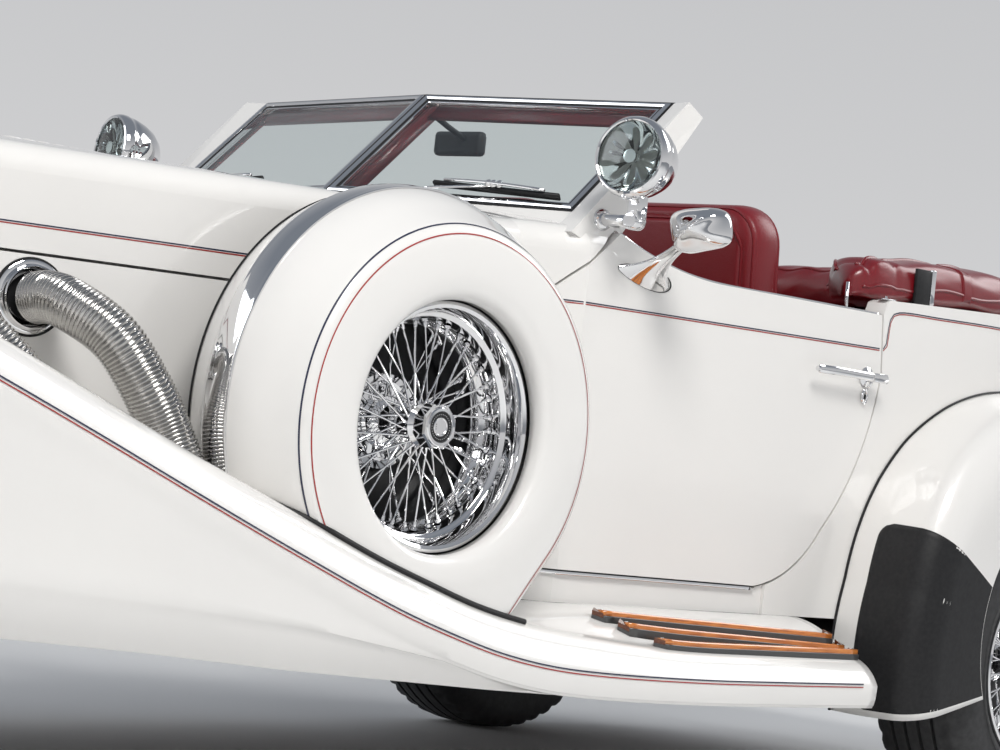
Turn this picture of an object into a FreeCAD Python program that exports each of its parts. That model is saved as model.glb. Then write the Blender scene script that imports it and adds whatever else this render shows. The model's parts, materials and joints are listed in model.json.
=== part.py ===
# Open two-door roadster in a pre-war style: long bonnet, sweeping wings, spare wheels in
# covers on both front wings, running boards, V-shaped windscreen and wire wheels.
# Millimetres. +X forward, +Y to the car's left, +Z up. The origin is on the ground,
# below the middle of the whole car.
import FreeCAD, Part
import math
import os

Vector = FreeCAD.Vector

# Overall layout
wheelbase = 3175.0
front_axle_x = 1791.0
rear_axle_x = front_axle_x - wheelbase
wing_side_y = 905.0        # outer face of all four wings

# Tyres and wire wheels
tyre_radius = 352.0
tyre_width = 225.0
track_half = 765.0         # car's middle to the middle of a tyre
rim_radius = 208.0
rim_half_width = 90.0
rim_metal = 4.0
rim_flange = 8.0           # width of the rim's edge, which holds the tyre's bead
rim_flange_height = 14.0
well_radius = 166.0        # drop centre of the rim
hub_radius = 36.0
hub_inner_y = -40.0        # hub ends, from the middle of the wheel, outwards positive
hub_outer_y = 66.0
cap_face_y = 98.0
cap_radius = 44.0
stub_radius = 22.0
stub_clearance = 0.05
stub_reach = 50.0          # how far a stub axle goes past the middle of the tyre
spoke_count = 20           # in each of the two rows
spoke_size = 5.0

# Steering
kingpin_inset = 85.0       # kingpin to the middle of the tyre
kingpin_radius = 14.0
kingpin_ear_radius = 24.0
ear_thickness = 14.0
knuckle_height = 86.0
kingpin_play = 5.0
brake_radius = 130.0

# Chassis
rail_bottom = 405.0
rail_top = 495.0
rail_inner_y = 330.0
rail_outer_y = 400.0
rail_front_x = 2250.0
rail_rear_x = -2300.0
front_bumper_reach = 340.0  # from the rails' front ends to the nose
rear_bumper_reach = 290.0
nose_x = rail_front_x + front_bumper_reach
tail_x = rail_rear_x - rear_bumper_reach
jack_pad_places = (1200.0, -800.0)
jack_pad_length = 110.0
jack_pad_width = 64.0
jack_pad_drop = 14.0       # pad's face below the rails
tow_bore_radius = 11.0
tow_bore_inset = 40.0      # from the rail's end
member_width = 70.0
member_bottom = 415.0
member_top = 485.0
member_places = (2120.0, 1520.0, 980.0, 250.0, -560.0, -1100.0, -1760.0, -2200.0)
axle_tube_radius = 38.0
spring_seat_half = 34.0
floor_thickness = 8.0
floor_inset = 8.0          # floor's edge to the inner face of the doors

# Engine, as one plain block
engine_rear_x = 900.0
engine_length = 700.0
engine_half_width = 190.0
engine_height = 400.0

# Body side in plan: the bonnet tapers to the radiator, the doors are almost straight
radiator_x = 1745.0
radiator_half_width = 241.6
taper_end_x = 260.0
taper_end_y = 590.3
cowl_waist_x = 60.0
cowl_waist_y = 598.0
flare_end_x = -60.0
flare_end_y = 660.0
flare_bow = 4.0
door_rear_x = -925.0
door_rear_y = 694.0
quarter_mid_x = -1650.0
quarter_mid_y = 690.0
body_tail_x = -2380.0
body_tail_y = 560.0
tail_lamp_y = 430.0
tail_lamp_radius = 34.0
tail_lamp_heights = (560.0, 640.0)
wall = 50.0                # whole thickness of a door or body side
bulkhead_x = -1440.0
lid_front_x = -1600.0
lid_rear_x = -2080.0
lid_half = 420.0
lid_hinge_z = 1076.5
body_bottom = 418.0
panel_gap = 5.0
cowl_wall = 30.0
firewall_x = 350.0

# Bonnet and cowl
bonnet_top_z = 1132.0
bonnet_rear_x = 410.0
bonnet_seam_z = 925.0
bonnet_metal = 6.0
bonnet_shoulder = 50.0     # width of the rounded shoulder
bonnet_drop = 28.0         # from the centre line to the start of the shoulder
side_panel_bottom = 500.0
bonnet_hinge_y = 13.0
bonnet_barrel_radius = 7.0
bonnet_pin_radius = 3.5
bonnet_lug_length = 12.0
bonnet_bays = 3
spine_half_width = 5.0
cowl_metal = 8.0
cowl_top_rear_z = 1149.0
cowl_rear_x = -150.0
cowl_edge_lead = 14.0      # the cowl's top ends this far ahead of the screen's foot
cowl_edge_half = 575.0

# Doors, points of the left door's outline in X and Z
door_bottom = 480.0        # at the front
door_bottom_rear = 473.0
door_step = 8.0
door_front_x = 42.0
door_front_z = 946.0
door_peak_x = -133.0
door_peak_z = 1106.0
door_top_z = 1038.0
door_hinge_x = door_front_x + panel_gap / 2
door_hinge_y = 612.0
door_hinge_heights = (620.0, 880.0)
door_hinge_length = 66.0

# Windscreen, left half
screen_apex_foot = (9.5, 0.0, 1151.0)
screen_apex_head = (-240.0, 0.0, 1384.0)
screen_corner_head = (-329.0, 586.0, 1379.0)
screen_corner_foot = (-71.0, 591.0, 1138.0)
screen_bar = 24.0          # width of the frame's bars in the plane of the glass
screen_depth = 16.0
glass_thickness = 5.0

# Front wing: stations from the nose to the rear end of the running board
wing_metal = 8.0
hem_drop = 40.0            # lower edge of the rounded outer bead below the stripe line
hem_inset = 4.0
crown_y = 800.0
splash_x = 1378.0          # splash plate behind the front tyre
flank_nose_x = 1740.0
flank_nose_depth = 8.0
flank_arch_radius = 398.0  # the flank's edge round the front wheel
# Columns: x, height of the stripe line on the outer face, rise of the crown above it,
# y of the inner edge, height of the inner edge above the stripe line
front_wing_stations = (
    (2240.0, 452.0, 55.0, 600.0, 45.0),
    (2195.0, 575.0, 72.0, 585.0, 55.0),
    (2110.0, 712.0, 84.0, 575.0, 60.0),
    (1960.0, 806.0, 88.0, 570.0, 50.0),
    (1800.0, 826.0, 88.0, 560.0, 30.0),
    (1620.0, 783.0, 88.0, 500.0, 20.0),
    (1414.0, 712.0, 88.0, 300.0, 10.0),
    (1000.0, 560.0, 88.0, 400.0, 30.0),
    (800.0, 487.0, 92.0, 440.0, 45.0),
    (570.0, 408.0, 90.0, 500.0, 60.0),
    (400.0, 359.0, 86.0, 540.0, 75.0),
    (200.0, 325.0, 78.0, 580.0, 90.0),
    (0.0, 311.0, 70.0, 600.0, 105.0),
    (-205.0, 307.0, 62.0, 630.0, 111.0),
    (-740.0, 308.0, 60.0, 650.0, 110.0),
)
# Columns: x, height where the flank turns under, height of its lower edge. Behind the
# first one, each x is also a station of the wing.
flank_stations = (
    (flank_nose_x, 418.0, 341.0),
    (1620.0, 418.0, 341.0),
    (1414.0, 418.0, 341.0),
    (1000.0, 390.0, 319.0),
    (800.0, 375.0, 306.0),
    (570.0, 347.0, 294.0),
    (400.0, 316.0, 285.0),
    (200.0, 284.0, 277.0),
    (0.0, 269.0, 267.0),
)
flank_y = 897.0
flank_lower_y = 872.0

# Rear wing: sections that turn about the rear axle
rear_crown_y = 845.0
rear_arch_radius = 396.0
# Columns: degrees from straight ahead, upwards; radius at the body; extra at the crown
rear_wing_sections = (
    (-12.0, 520.0, 4.0),
    (16.0, 523.0, 10.0),
    (40.0, 556.0, 10.0),
    (66.0, 566.0, 4.0),
    (90.0, 560.0, 4.0),
    (120.0, 566.0, 4.0),
    (150.0, 590.0, 6.0),
    (178.0, 620.0, 8.0),
    (196.0, 622.0, 6.0),
)

# Spare wheels
spare_x = 416.0
spare_z = 713.0
spare_wheel_y = 700.0
spare_tyre_radius = 338.0
spare_tyre_width = 186.0
cover_inner_y = 603.0
cover_face_y = 836.0
cover_radius = 356.0
cover_edge_round = 35.0
cover_crown = ((388.0, 603.0), (404.0, 676.0), (385.0, 752.0))   # radius and y
cover_crown_end = (357.0, 800.0)
cover_crown_rear_x = 62.0
cover_metal = 4.0
cover_hole_radius = 215.0
cover_lip_y = 800.0
cover_tail_x = 202.0
cover_tail_z = 411.0
band_edges = (656.0, 711.0)      # y of the band's two edges
band_metal = 3.0
seal_gap = 0.4
pan_radius = 346.0
pan_metal = 6.0

# Exhaust hoses
hose_radius = 43.0
hose_places = (1010.0, 1310.0)
hose_flange_z = 851.0
hose_flange_radius = 60.0
hose_flange_thickness = 14.0

# Lamps
headlamp_radius = 112.0
headlamp_x = 1935.0
headlamp_y = 385.0
headlamp_z = 905.0
lamp_bar_x = 1890.0
lamp_bar_z = 745.0
lamp_bar_radius = 16.0
spot_radius = 73.0
spot_x = -41.0
spot_y = 745.0
spot_z = 1235.0

# Bumpers
bumper_half = 780.0
bumper_low = 400.0
bumper_high = 520.0
bumper_metal = 26.0
bumper_sweep = 70.0        # how far the ends sweep back

# Seats and cockpit
floor_top = rail_top + floor_thickness
seat_inner_y = 60.0
seat_outer_y = 550.0
cushion_top = 790.0
backrest_top = 1228.0
steering_centre = (-300.0, 330.0, 985.0)
steering_radius = 190.0
steering_rake = 28.0
grip_radius = 13.0
hub_back = 22.0            # hub's rear face to the middle of the grip
column_spigot = 9.0

# Folded top
stack_top = 1172.0
stack_half = 668.0
stack_round = 30.0

soft_gap = 0.3


def arc(start, middle, end):
    return Part.Arc(Vector(*start), Vector(*middle), Vector(*end)).toShape()


def line(start, end):
    return Part.makeLine(Vector(*start), Vector(*end))


def face_of(points):
    corners = [Vector(*point) for point in points]
    return Part.Face(Part.makePolygon(corners + corners[:1]))


def prism_y(outline, y_low, y_high):
    face = face_of([(x, y_low, z) for x, z in outline])
    return face.extrude(Vector(0, y_high - y_low, 0))


def prism_x(outline, x_low, x_high):
    face = face_of([(x_low, y, z) for y, z in outline])
    return face.extrude(Vector(x_high - x_low, 0, 0))


def prism_z(outline, z_low, z_high):
    face = face_of([(x, y, z_low) for x, y in outline])
    return face.extrude(Vector(0, 0, z_high - z_low))


def block(x_low, x_high, y_low, y_high, z_low, z_high):
    size = (x_high - x_low, y_high - y_low, z_high - z_low)
    return Part.makeBox(size[0], size[1], size[2], Vector(x_low, y_low, z_low))


def rod(start, end, radius):
    run = Vector(*end) - Vector(*start)
    return Part.makeCylinder(radius, run.Length, Vector(*start), run)


def bar(start, end, size):
    run = Vector(*end) - Vector(*start)
    box = Part.makeBox(size, size, run.Length, Vector(-size / 2, -size / 2, 0))
    turn = FreeCAD.Rotation(Vector(0, 0, 1), run)
    box.Placement = FreeCAD.Placement(Vector(*start), turn)
    return box


def turned_y(profile, centre_x=0.0, centre_z=0.0):
    # A ring or disc about an axis along Y. The profile holds pairs of radius and y.
    face = face_of([(centre_x + radius, y, centre_z) for radius, y in profile])
    return face.revolve(Vector(centre_x, 0, centre_z), Vector(0, 1, 0), 360)


def turned_x(profile, centre_y, centre_z):
    # A ring or disc about an axis along X. The profile holds pairs of x and radius.
    face = face_of([(x, centre_y, centre_z + radius) for x, radius in profile])
    return face.revolve(Vector(0, centre_y, centre_z), Vector(1, 0, 0), 360)


def hinge(centre, direction, length, radius, pin_radius):
    # A barrel hinge: the fixed half is a pin between two end barrels, the moving half is
    # the middle barrel, which turns on the pin.
    way = Vector(*direction)
    middle = Vector(*centre)
    third = length / 3
    pin = Part.makeCylinder(pin_radius, length, middle - way * (length / 2), way)
    low = Part.makeCylinder(radius, third, middle - way * (length / 2), way)
    high = Part.makeCylinder(radius, third, middle + way * (length / 2 - third), way)
    turning_length = third - 2 * soft_gap
    turning = Part.makeCylinder(radius, turning_length, middle - way * (turning_length / 2), way)
    bore = Part.makeCylinder(pin_radius + soft_gap, length, middle - way * (length / 2), way)
    return pin.fuse(low).fuse(high), turning.cut(bore)


def other_side(shape):
    return shape.mirror(Vector(0, 0, 0), Vector(0, 1, 0))


def both_sides(shape):
    return [shape, other_side(shape)]


def save(node, shapes):
    solids = []
    for shape in shapes:
        solids.extend(shape.Solids)
    whole = solids[0] if len(solids) == 1 else Part.makeCompound(solids)
    state = "ok" if whole.isValid() else "NOT VALID"
    print(node, len(solids), "solids", round(whole.Volume / 1e6, 3), "litres", state)
    whole.exportStep("parts/" + node + ".step")


# Body side in plan

def plan_edges(shift):
    # The left body side from the radiator to the tail, moved inwards by shift.
    z = 0.0
    front = (radiator_x, radiator_half_width - shift, z)
    taper_end = (taper_end_x, taper_end_y - shift, z)
    waist = (cowl_waist_x, cowl_waist_y - shift, z)
    flare = (flare_end_x, flare_end_y - shift, z)
    flare_mid = ((cowl_waist_x + flare_end_x) / 2, (cowl_waist_y + flare_end_y) / 2 - flare_bow - shift, z)
    door_end = (door_rear_x, door_rear_y - shift, z)
    tail = (body_tail_x, body_tail_y - shift, z)
    return [
        line(front, taper_end),
        line(taper_end, waist),
        arc(waist, flare_mid, flare),
        line(flare, door_end),
        arc(door_end, (quarter_mid_x, quarter_mid_y - shift, z), tail),
    ]


def plan_y(x):
    # Half width of the body at x, ahead of the doors.
    slope = (taper_end_y - radiator_half_width) / (radiator_x - taper_end_x)
    if x > taper_end_x:
        return radiator_half_width + slope * (radiator_x - x)
    return taper_end_y + (cowl_waist_y - taper_end_y) * (taper_end_x - x) / (taper_end_x - cowl_waist_x)


def half_width(x):
    # Half width of the body at x, back to the doors' rear edges.
    if x >= cowl_waist_x:
        return plan_y(x)
    if x >= flare_end_x:
        share = (cowl_waist_x - x) / (cowl_waist_x - flare_end_x)
        bow = 4 * flare_bow * share * (1 - share)
        return cowl_waist_y + (flare_end_y - cowl_waist_y) * share - bow
    share = (flare_end_x - x) / (flare_end_x - door_rear_x)
    return flare_end_y + (door_rear_y - flare_end_y) * share


def plan_strip(thickness, z_low, z_high, shift=0.0):
    # The left body side as one upright wall.
    outer = plan_edges(shift)
    inner = plan_edges(shift + thickness)
    front = line((radiator_x, radiator_half_width - shift, 0),
                 (radiator_x, radiator_half_width - shift - thickness, 0))
    rear = line((body_tail_x, body_tail_y - shift, 0),
                (body_tail_x, body_tail_y - shift - thickness, 0))
    wire = Part.Wire(Part.__sortEdges__(outer + [rear] + inner + [front]))
    strip = Part.Face(wire).extrude(Vector(0, 0, z_high - z_low))
    strip.translate(Vector(0, 0, z_low))
    return strip


def plan_block(z_low, z_high, shift=0.0):
    # Everything between the two body sides.
    left = plan_edges(shift)
    front_y = radiator_half_width - shift
    rear_y = body_tail_y - shift
    closing = [
        line((radiator_x, front_y, 0), (radiator_x, 0, 0)),
        line((radiator_x, 0, 0), (body_tail_x, 0, 0)),
        line((body_tail_x, 0, 0), (body_tail_x, rear_y, 0)),
    ]
    wire = Part.Wire(Part.__sortEdges__(left + closing))
    half = Part.Face(wire).extrude(Vector(0, 0, z_high - z_low))
    half.translate(Vector(0, 0, z_low))
    return half.fuse(other_side(half)).removeSplitter()


# Chassis and axles

def make_frame():
    rails = block(rail_rear_x, rail_front_x, rail_inner_y, rail_outer_y, rail_bottom, rail_top)
    rail_y = (rail_inner_y + rail_outer_y) / 2
    for x in (rail_front_x - tow_bore_inset, rail_rear_x + tow_bore_inset):
        rails = rails.cut(rod((x, rail_y, rail_bottom - 1), (x, rail_y, rail_top + 1), tow_bore_radius))
    for x in jack_pad_places:
        pad = block(x - jack_pad_length / 2, x + jack_pad_length / 2, rail_y - jack_pad_width / 2,
                    rail_y + jack_pad_width / 2, rail_bottom - jack_pad_drop, rail_bottom)
        rails = rails.fuse(pad)
    save("frame_rails", both_sides(rails))
    members = []
    for x in member_places:
        members.append(block(x - member_width / 2, x + member_width / 2,
                             -rail_inner_y, rail_inner_y, member_bottom, member_top))
    save("frame_members", members)


def spring_seat(x):
    return block(x - spring_seat_half, x + spring_seat_half,
                 rail_inner_y, rail_outer_y, tyre_radius, rail_bottom)


kingpin_y = track_half - kingpin_inset
knuckle_low = tyre_radius - knuckle_height / 2
knuckle_high = tyre_radius + knuckle_height / 2


def make_front_axle():
    yoke_y = kingpin_y - kingpin_ear_radius - kingpin_play - 12
    beam = rod((front_axle_x, -yoke_y, tyre_radius), (front_axle_x, yoke_y, tyre_radius), axle_tube_radius)
    axle = beam
    for seat in both_sides(spring_seat(front_axle_x)):
        axle = axle.fuse(seat)
    low = knuckle_low - kingpin_play - ear_thickness
    high = knuckle_high + kingpin_play
    plate = block(front_axle_x - kingpin_ear_radius, front_axle_x + kingpin_ear_radius,
                  yoke_y - 14, yoke_y, low, high + ear_thickness)
    fork = plate
    for ear_z in (low, high):
        ear = block(front_axle_x - kingpin_ear_radius, front_axle_x + kingpin_ear_radius,
                    yoke_y, kingpin_y, ear_z, ear_z + ear_thickness)
        tip = rod((front_axle_x, kingpin_y, ear_z), (front_axle_x, kingpin_y, ear_z + ear_thickness),
                  kingpin_ear_radius)
        fork = fork.fuse(ear).fuse(tip)
    pin_hole = rod((front_axle_x, kingpin_y, low - 10), (front_axle_x, kingpin_y, high + 40),
                   kingpin_radius + stub_clearance)
    fork = fork.cut(pin_hole)
    for side in both_sides(fork):
        axle = axle.fuse(side)
    save("front_axle", [axle.removeSplitter()])


def stub_with_brake():
    # Wheel frame: the axle is Y, outwards positive, from the middle of the tyre.
    stub = rod((0, hub_inner_y - 20, 0), (0, stub_reach, 0), stub_radius)
    brake = rod((0, hub_inner_y - 14, 0), (0, hub_inner_y - 5, 0), brake_radius)
    return stub.fuse(brake)


def make_knuckles():
    low = knuckle_low - kingpin_play - ear_thickness - 4
    high = knuckle_high + kingpin_play + ear_thickness + 4
    pin = rod((front_axle_x, kingpin_y, low), (front_axle_x, kingpin_y, high), kingpin_radius)
    barrel = rod((front_axle_x, kingpin_y, knuckle_low), (front_axle_x, kingpin_y, knuckle_high),
                 kingpin_ear_radius)
    root = rod((front_axle_x, kingpin_y, tyre_radius),
               (front_axle_x, track_half + hub_inner_y - 10, tyre_radius), stub_radius)
    stub = stub_with_brake()
    stub.translate(Vector(front_axle_x, track_half, tyre_radius))
    left = pin.fuse(barrel).fuse(root).fuse(stub).removeSplitter()
    save("knuckle_left", [left])
    save("knuckle_right", [other_side(left)])


def make_rear_axle():
    end_y = track_half + hub_inner_y - 12
    axle = rod((rear_axle_x, -end_y, tyre_radius), (rear_axle_x, end_y, tyre_radius), axle_tube_radius)
    axle = axle.fuse(Part.makeSphere(105, Vector(rear_axle_x, 0, tyre_radius)))
    for seat in both_sides(spring_seat(rear_axle_x)):
        axle = axle.fuse(seat)
    stub = stub_with_brake()
    stub.translate(Vector(rear_axle_x, track_half, tyre_radius))
    for side in both_sides(stub):
        axle = axle.fuse(side)
    save("rear_axle", [axle.removeSplitter()])


def make_engine():
    save("engine_block", [block(engine_rear_x, engine_rear_x + engine_length, -engine_half_width,
                                engine_half_width, member_top, member_top + engine_height)])


# Wheels

def tyre_ring(radius, width):
    half = width / 2
    bead = rim_half_width - rim_flange - soft_gap
    low = rim_radius - rim_flange_height + soft_gap
    profile = [
        (low, -bead), (rim_radius + 1, -bead), (rim_radius + 24, -half + 6), (rim_radius + 60, -half),
        (radius - 40, -half), (radius - 12, -half + 12), (radius, -half + 34),
        (radius, half - 34), (radius - 12, half - 12), (radius - 40, half),
        (rim_radius + 60, half), (rim_radius + 24, half - 6), (rim_radius + 1, bead), (low, bead),
    ]
    return turned_y(profile)


def wire_wheel():
    # Outer face towards +Y, centre at the middle of the tyre.
    w = rim_half_width
    seat = rim_radius - rim_flange_height
    outer = [(rim_radius, w), (rim_radius - 2, w - rim_flange + 1), (seat, w - rim_flange),
             (seat, w - 48), (well_radius, w - 62), (well_radius, w - 96), (seat, w - 112),
             (seat, -w + rim_flange), (rim_radius - 2, -w + rim_flange - 1), (rim_radius, -w)]
    inner = [(radius - rim_metal, y) for radius, y in reversed(outer)]
    rim = turned_y(outer + inner)
    hub = rod((0, hub_inner_y, 0), (0, hub_outer_y, 0), hub_radius)
    cap = rod((0, hub_outer_y, 0), (0, cap_face_y, 0), cap_radius)
    bore = rod((0, hub_inner_y - 1, 0), (0, stub_reach + 6, 0), stub_radius + stub_clearance)
    pieces = []
    step = 2 * math.pi / spoke_count
    for index in range(spoke_count):
        lean = step * (2.2 if index % 2 else -2.2)
        for row, hub_y, rim_y, rim_r in ((0, hub_outer_y - 8, w - 54, seat - 6),
                                         (0.5, hub_inner_y + 8, w - 78, well_radius - rim_metal)):
            start = step * (index + row)
            end = start + lean
            inner_r = hub_radius - 3
            foot = (inner_r * math.cos(start), hub_y, inner_r * math.sin(start))
            head = (rim_r * math.cos(end), rim_y, rim_r * math.sin(end))
            pieces.append(bar(foot, head, spoke_size))
    wheel = hub.multiFuse([cap, rim] + pieces)
    return wheel.cut(bore)


def make_wheels():
    wheel = wire_wheel()
    tyre = tyre_ring(tyre_radius, tyre_width)
    for end, x in (("front", front_axle_x), ("rear", rear_axle_x)):
        for name, shape in (("wheel", wheel), ("tyre", tyre)):
            left = shape.copy()
            left.translate(Vector(x, track_half, tyre_radius))
            save(name + "_" + end + "_left", [left])
            save(name + "_" + end + "_right", [other_side(left)])
    spare = wheel.copy()
    spare.translate(Vector(spare_x, spare_wheel_y, spare_z))
    save("spare_wheels", both_sides(spare))
    spare_tyre = tyre_ring(spare_tyre_radius, spare_tyre_width)
    spare_tyre.translate(Vector(spare_x, spare_wheel_y, spare_z))
    save("spare_tyres", both_sides(spare_tyre))


# Front wings

def front_wing_path(station, lift=0.0):
    # Outer line of one section, as named points from the inner edge to the hem.
    x, stripe_z, crown_rise, inner_y, inner_rise = station
    crown_z = stripe_z + crown_rise
    inner_z = stripe_z + inner_rise
    swell = 0.25 * abs(crown_z - inner_z) + 6
    return {
        "inner": (x, inner_y, inner_z + lift),
        "slope": (x, (inner_y + crown_y) / 2, (inner_z + crown_z) / 2 + swell + lift),
        "crown": (x, crown_y + 20, crown_z - 8 + lift),
        "bead": (x, wing_side_y - 24, stripe_z + crown_rise * 0.52 + lift),
        "stripe": (x, wing_side_y, stripe_z + lift),
        "hem": (x, wing_side_y - hem_inset, stripe_z - hem_drop + lift),
    }


def front_wing_section(station):
    path = front_wing_path(station)
    t = wing_metal
    under = {name: (x, y, z - t) for name, (x, y, z) in path.items()}
    under["bead"] = (path["bead"][0], path["bead"][1] - t * 0.75, path["bead"][2] - t * 0.7)
    under["stripe"] = (path["stripe"][0], wing_side_y - t, path["stripe"][2])
    under["hem"] = (path["hem"][0], path["hem"][1] - t, path["hem"][2])
    edges = [
        arc(path["inner"], path["slope"], path["crown"]),
        arc(path["crown"], path["bead"], path["stripe"]),
        line(path["stripe"], path["hem"]),
        line(path["hem"], under["hem"]),
        line(under["hem"], under["stripe"]),
        arc(under["stripe"], under["bead"], under["crown"]),
        arc(under["crown"], under["slope"], under["inner"]),
        line(under["inner"], path["inner"]),
    ]
    return Part.Wire(edges)


def under_front_wing(lift):
    # All that lies below the wing's outer surface.
    wires = []
    for station in front_wing_stations:
        path = front_wing_path(station, lift)
        x = station[0]
        outer_y = wing_side_y + 20
        edges = [
            arc(path["inner"], path["slope"], path["crown"]),
            arc(path["crown"], path["bead"], path["stripe"]),
            line(path["stripe"], (x, outer_y, path["stripe"][2] - 5)),
            line((x, outer_y, path["stripe"][2] - 5), (x, outer_y, 150)),
            line((x, outer_y, 150), (x, path["inner"][1], 150)),
            line((x, path["inner"][1], 150), path["inner"]),
        ]
        wires.append(Part.Wire(edges))
    return Part.makeLoft(wires, True, True)


def flank_plate():
    # Hangs from the lower face of the bead.
    wires = []
    for x, turn_z, low_z in flank_stations:
        top_z = front_wing_height(x) - hem_drop
        outer = [(x, wing_side_y - hem_inset, top_z), (x, flank_y, turn_z), (x, flank_lower_y, low_z)]
        inner = [(x, y - wing_metal, z) for _, y, z in reversed(outer)]
        corners = [Vector(*point) for point in outer + inner]
        wires.append(Part.makePolygon(corners + corners[:1]))
    plate = Part.makeLoft(wires, True, True)
    arch = rod((front_axle_x, 0, tyre_radius), (front_axle_x, 1000, tyre_radius), flank_arch_radius)
    arch_x = flank_nose_x - 140
    arch_z = tyre_radius + math.sqrt(flank_arch_radius ** 2 - (front_axle_x - arch_x) ** 2)
    nose_z = front_wing_height(flank_nose_x) - hem_drop
    slope = [(arch_x, arch_z), (flank_nose_x + 1, nose_z - flank_nose_depth), (flank_nose_x + 1, 0), (arch_x, 0)]
    return plate.cut(arch).cut(prism_y(slope, 0, 1000))


def front_wing_height(x):
    # Height of the stripe line at x, straight between the stations.
    for front, rear in zip(front_wing_stations, front_wing_stations[1:]):
        if rear[0] <= x <= front[0]:
            share = (front[0] - x) / (front[0] - rear[0])
            return front[1] + share * (rear[1] - front[1])
    return front_wing_stations[-1][1]


def make_front_wings():
    shell = Part.makeLoft([front_wing_section(s) for s in front_wing_stations], True, True)
    under = under_front_wing(0.0)
    wing = shell.fuse(flank_plate())
    stripe_z = front_wing_height(splash_x)
    splash = prism_x([(plan_y(splash_x), 330), (flank_y - 2, 341), (flank_y - 2, stripe_z),
                      (crown_y, stripe_z + 80), (plan_y(splash_x), stripe_z + 20)],
                     splash_x - wing_metal, splash_x)
    wing = wing.fuse(splash.common(under))
    tub = rod((spare_x, cover_inner_y - 3, spare_z), (spare_x, spare_wheel_y + 112, spare_z),
              pan_radius + pan_metal)
    hollow = rod((spare_x, cover_inner_y + pan_metal - 3, spare_z),
                 (spare_x, spare_wheel_y + 112 - pan_metal, spare_z), pan_radius)
    wing = wing.fuse(tub.common(under)).cut(hollow)
    post_y = cover_inner_y - 3
    post = block(spare_x - 35, spare_x + 35, post_y, post_y + pan_metal, spare_z - pan_radius, spare_z + 40)
    spigot = rod((spare_x, post_y, spare_z), (spare_x, spare_wheel_y + stub_reach, spare_z), stub_radius)
    wing = wing.fuse(post).fuse(spigot)
    wing = wing.cut(plan_block(250, 1300, -seal_gap))
    wing = wing.cut(block(rail_rear_x, rail_front_x, 0, rail_outer_y + seal_gap, 0, rail_top + seal_gap))
    save("front_wings", both_sides(wing))


# Spare wheel covers

def cover_outline(radius, face_y, tail_shift):
    centre = Vector(spare_x, face_y, spare_z)
    reach_x = cover_tail_x - spare_x + tail_shift
    reach_z = cover_tail_z - spare_z
    reach = math.hypot(reach_x, reach_z)
    heading = math.atan2(reach_z, reach_x) % (2 * math.pi)
    tangent = heading - math.acos(radius / reach)
    length = math.sqrt(reach ** 2 - radius ** 2) + 60

    def on_circle(angle):
        return centre + Vector(radius * math.cos(angle), 0, radius * math.sin(angle))

    start_angle = math.radians(-55)
    start = on_circle(start_angle)
    middle = on_circle((start_angle + tangent) / 2)
    leave = on_circle(tangent)
    direction = Vector(-math.sin(tangent), 0, math.cos(tangent))
    tip = leave + direction * length
    edges = [
        Part.Arc(start, middle, leave).toShape(),
        Part.makeLine(leave, tip),
        Part.makeLine(tip, start),
    ]
    return Part.Wire(edges)


def rounded_drum(radius, y_low, y_high, edge_round, tail_shift):
    drum = Part.Face(cover_outline(radius, y_low, tail_shift)).extrude(Vector(0, y_high - y_low, 0))
    rim_edges = []
    for edge in drum.Edges:
        centre = edge.CenterOfMass
        on_face = abs(edge.BoundBox.YMin - y_high) < 0.01
        far = math.hypot(centre.x - spare_x, centre.z - spare_z) > 30
        if on_face and far and centre.z > 420 - 40 or on_face and edge.Length > 800:
            rim_edges.append(edge)
    return drum.makeFillet(edge_round, rim_edges)


def crown_ring(inset):
    # The raised belt of the cover, as an arc and a straight slope towards the face.
    first, middle, last = [(spare_x + radius - inset, y, spare_z) for radius, y in cover_crown]
    end = (spare_x + cover_crown_end[0] - inset, cover_crown_end[1], spare_z)
    low = (spare_x + cover_radius - 20 - inset, end[1], spare_z)
    foot = (low[0], first[1], spare_z)
    edges = [arc(first, middle, last), line(last, end), line(end, low), line(low, foot), line(foot, first)]
    ring = Part.Face(Part.Wire(edges)).revolve(Vector(spare_x, 0, spare_z), Vector(0, 1, 0), 360)
    rear_x = cover_crown_rear_x + inset
    return ring.cut(block(rear_x - 200, rear_x, first[1] - 1, end[1] + 1, spare_z - 500, spare_z + 500))


def crown_radius(y):
    (first, y0), (middle, y1), (last, y2) = cover_crown
    bend = arc((first, y0, 0), (middle, y1, 0), (last, y2, 0)).Curve
    return bend.Center.x + math.sqrt(bend.Radius ** 2 - (y - bend.Center.y) ** 2)


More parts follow.
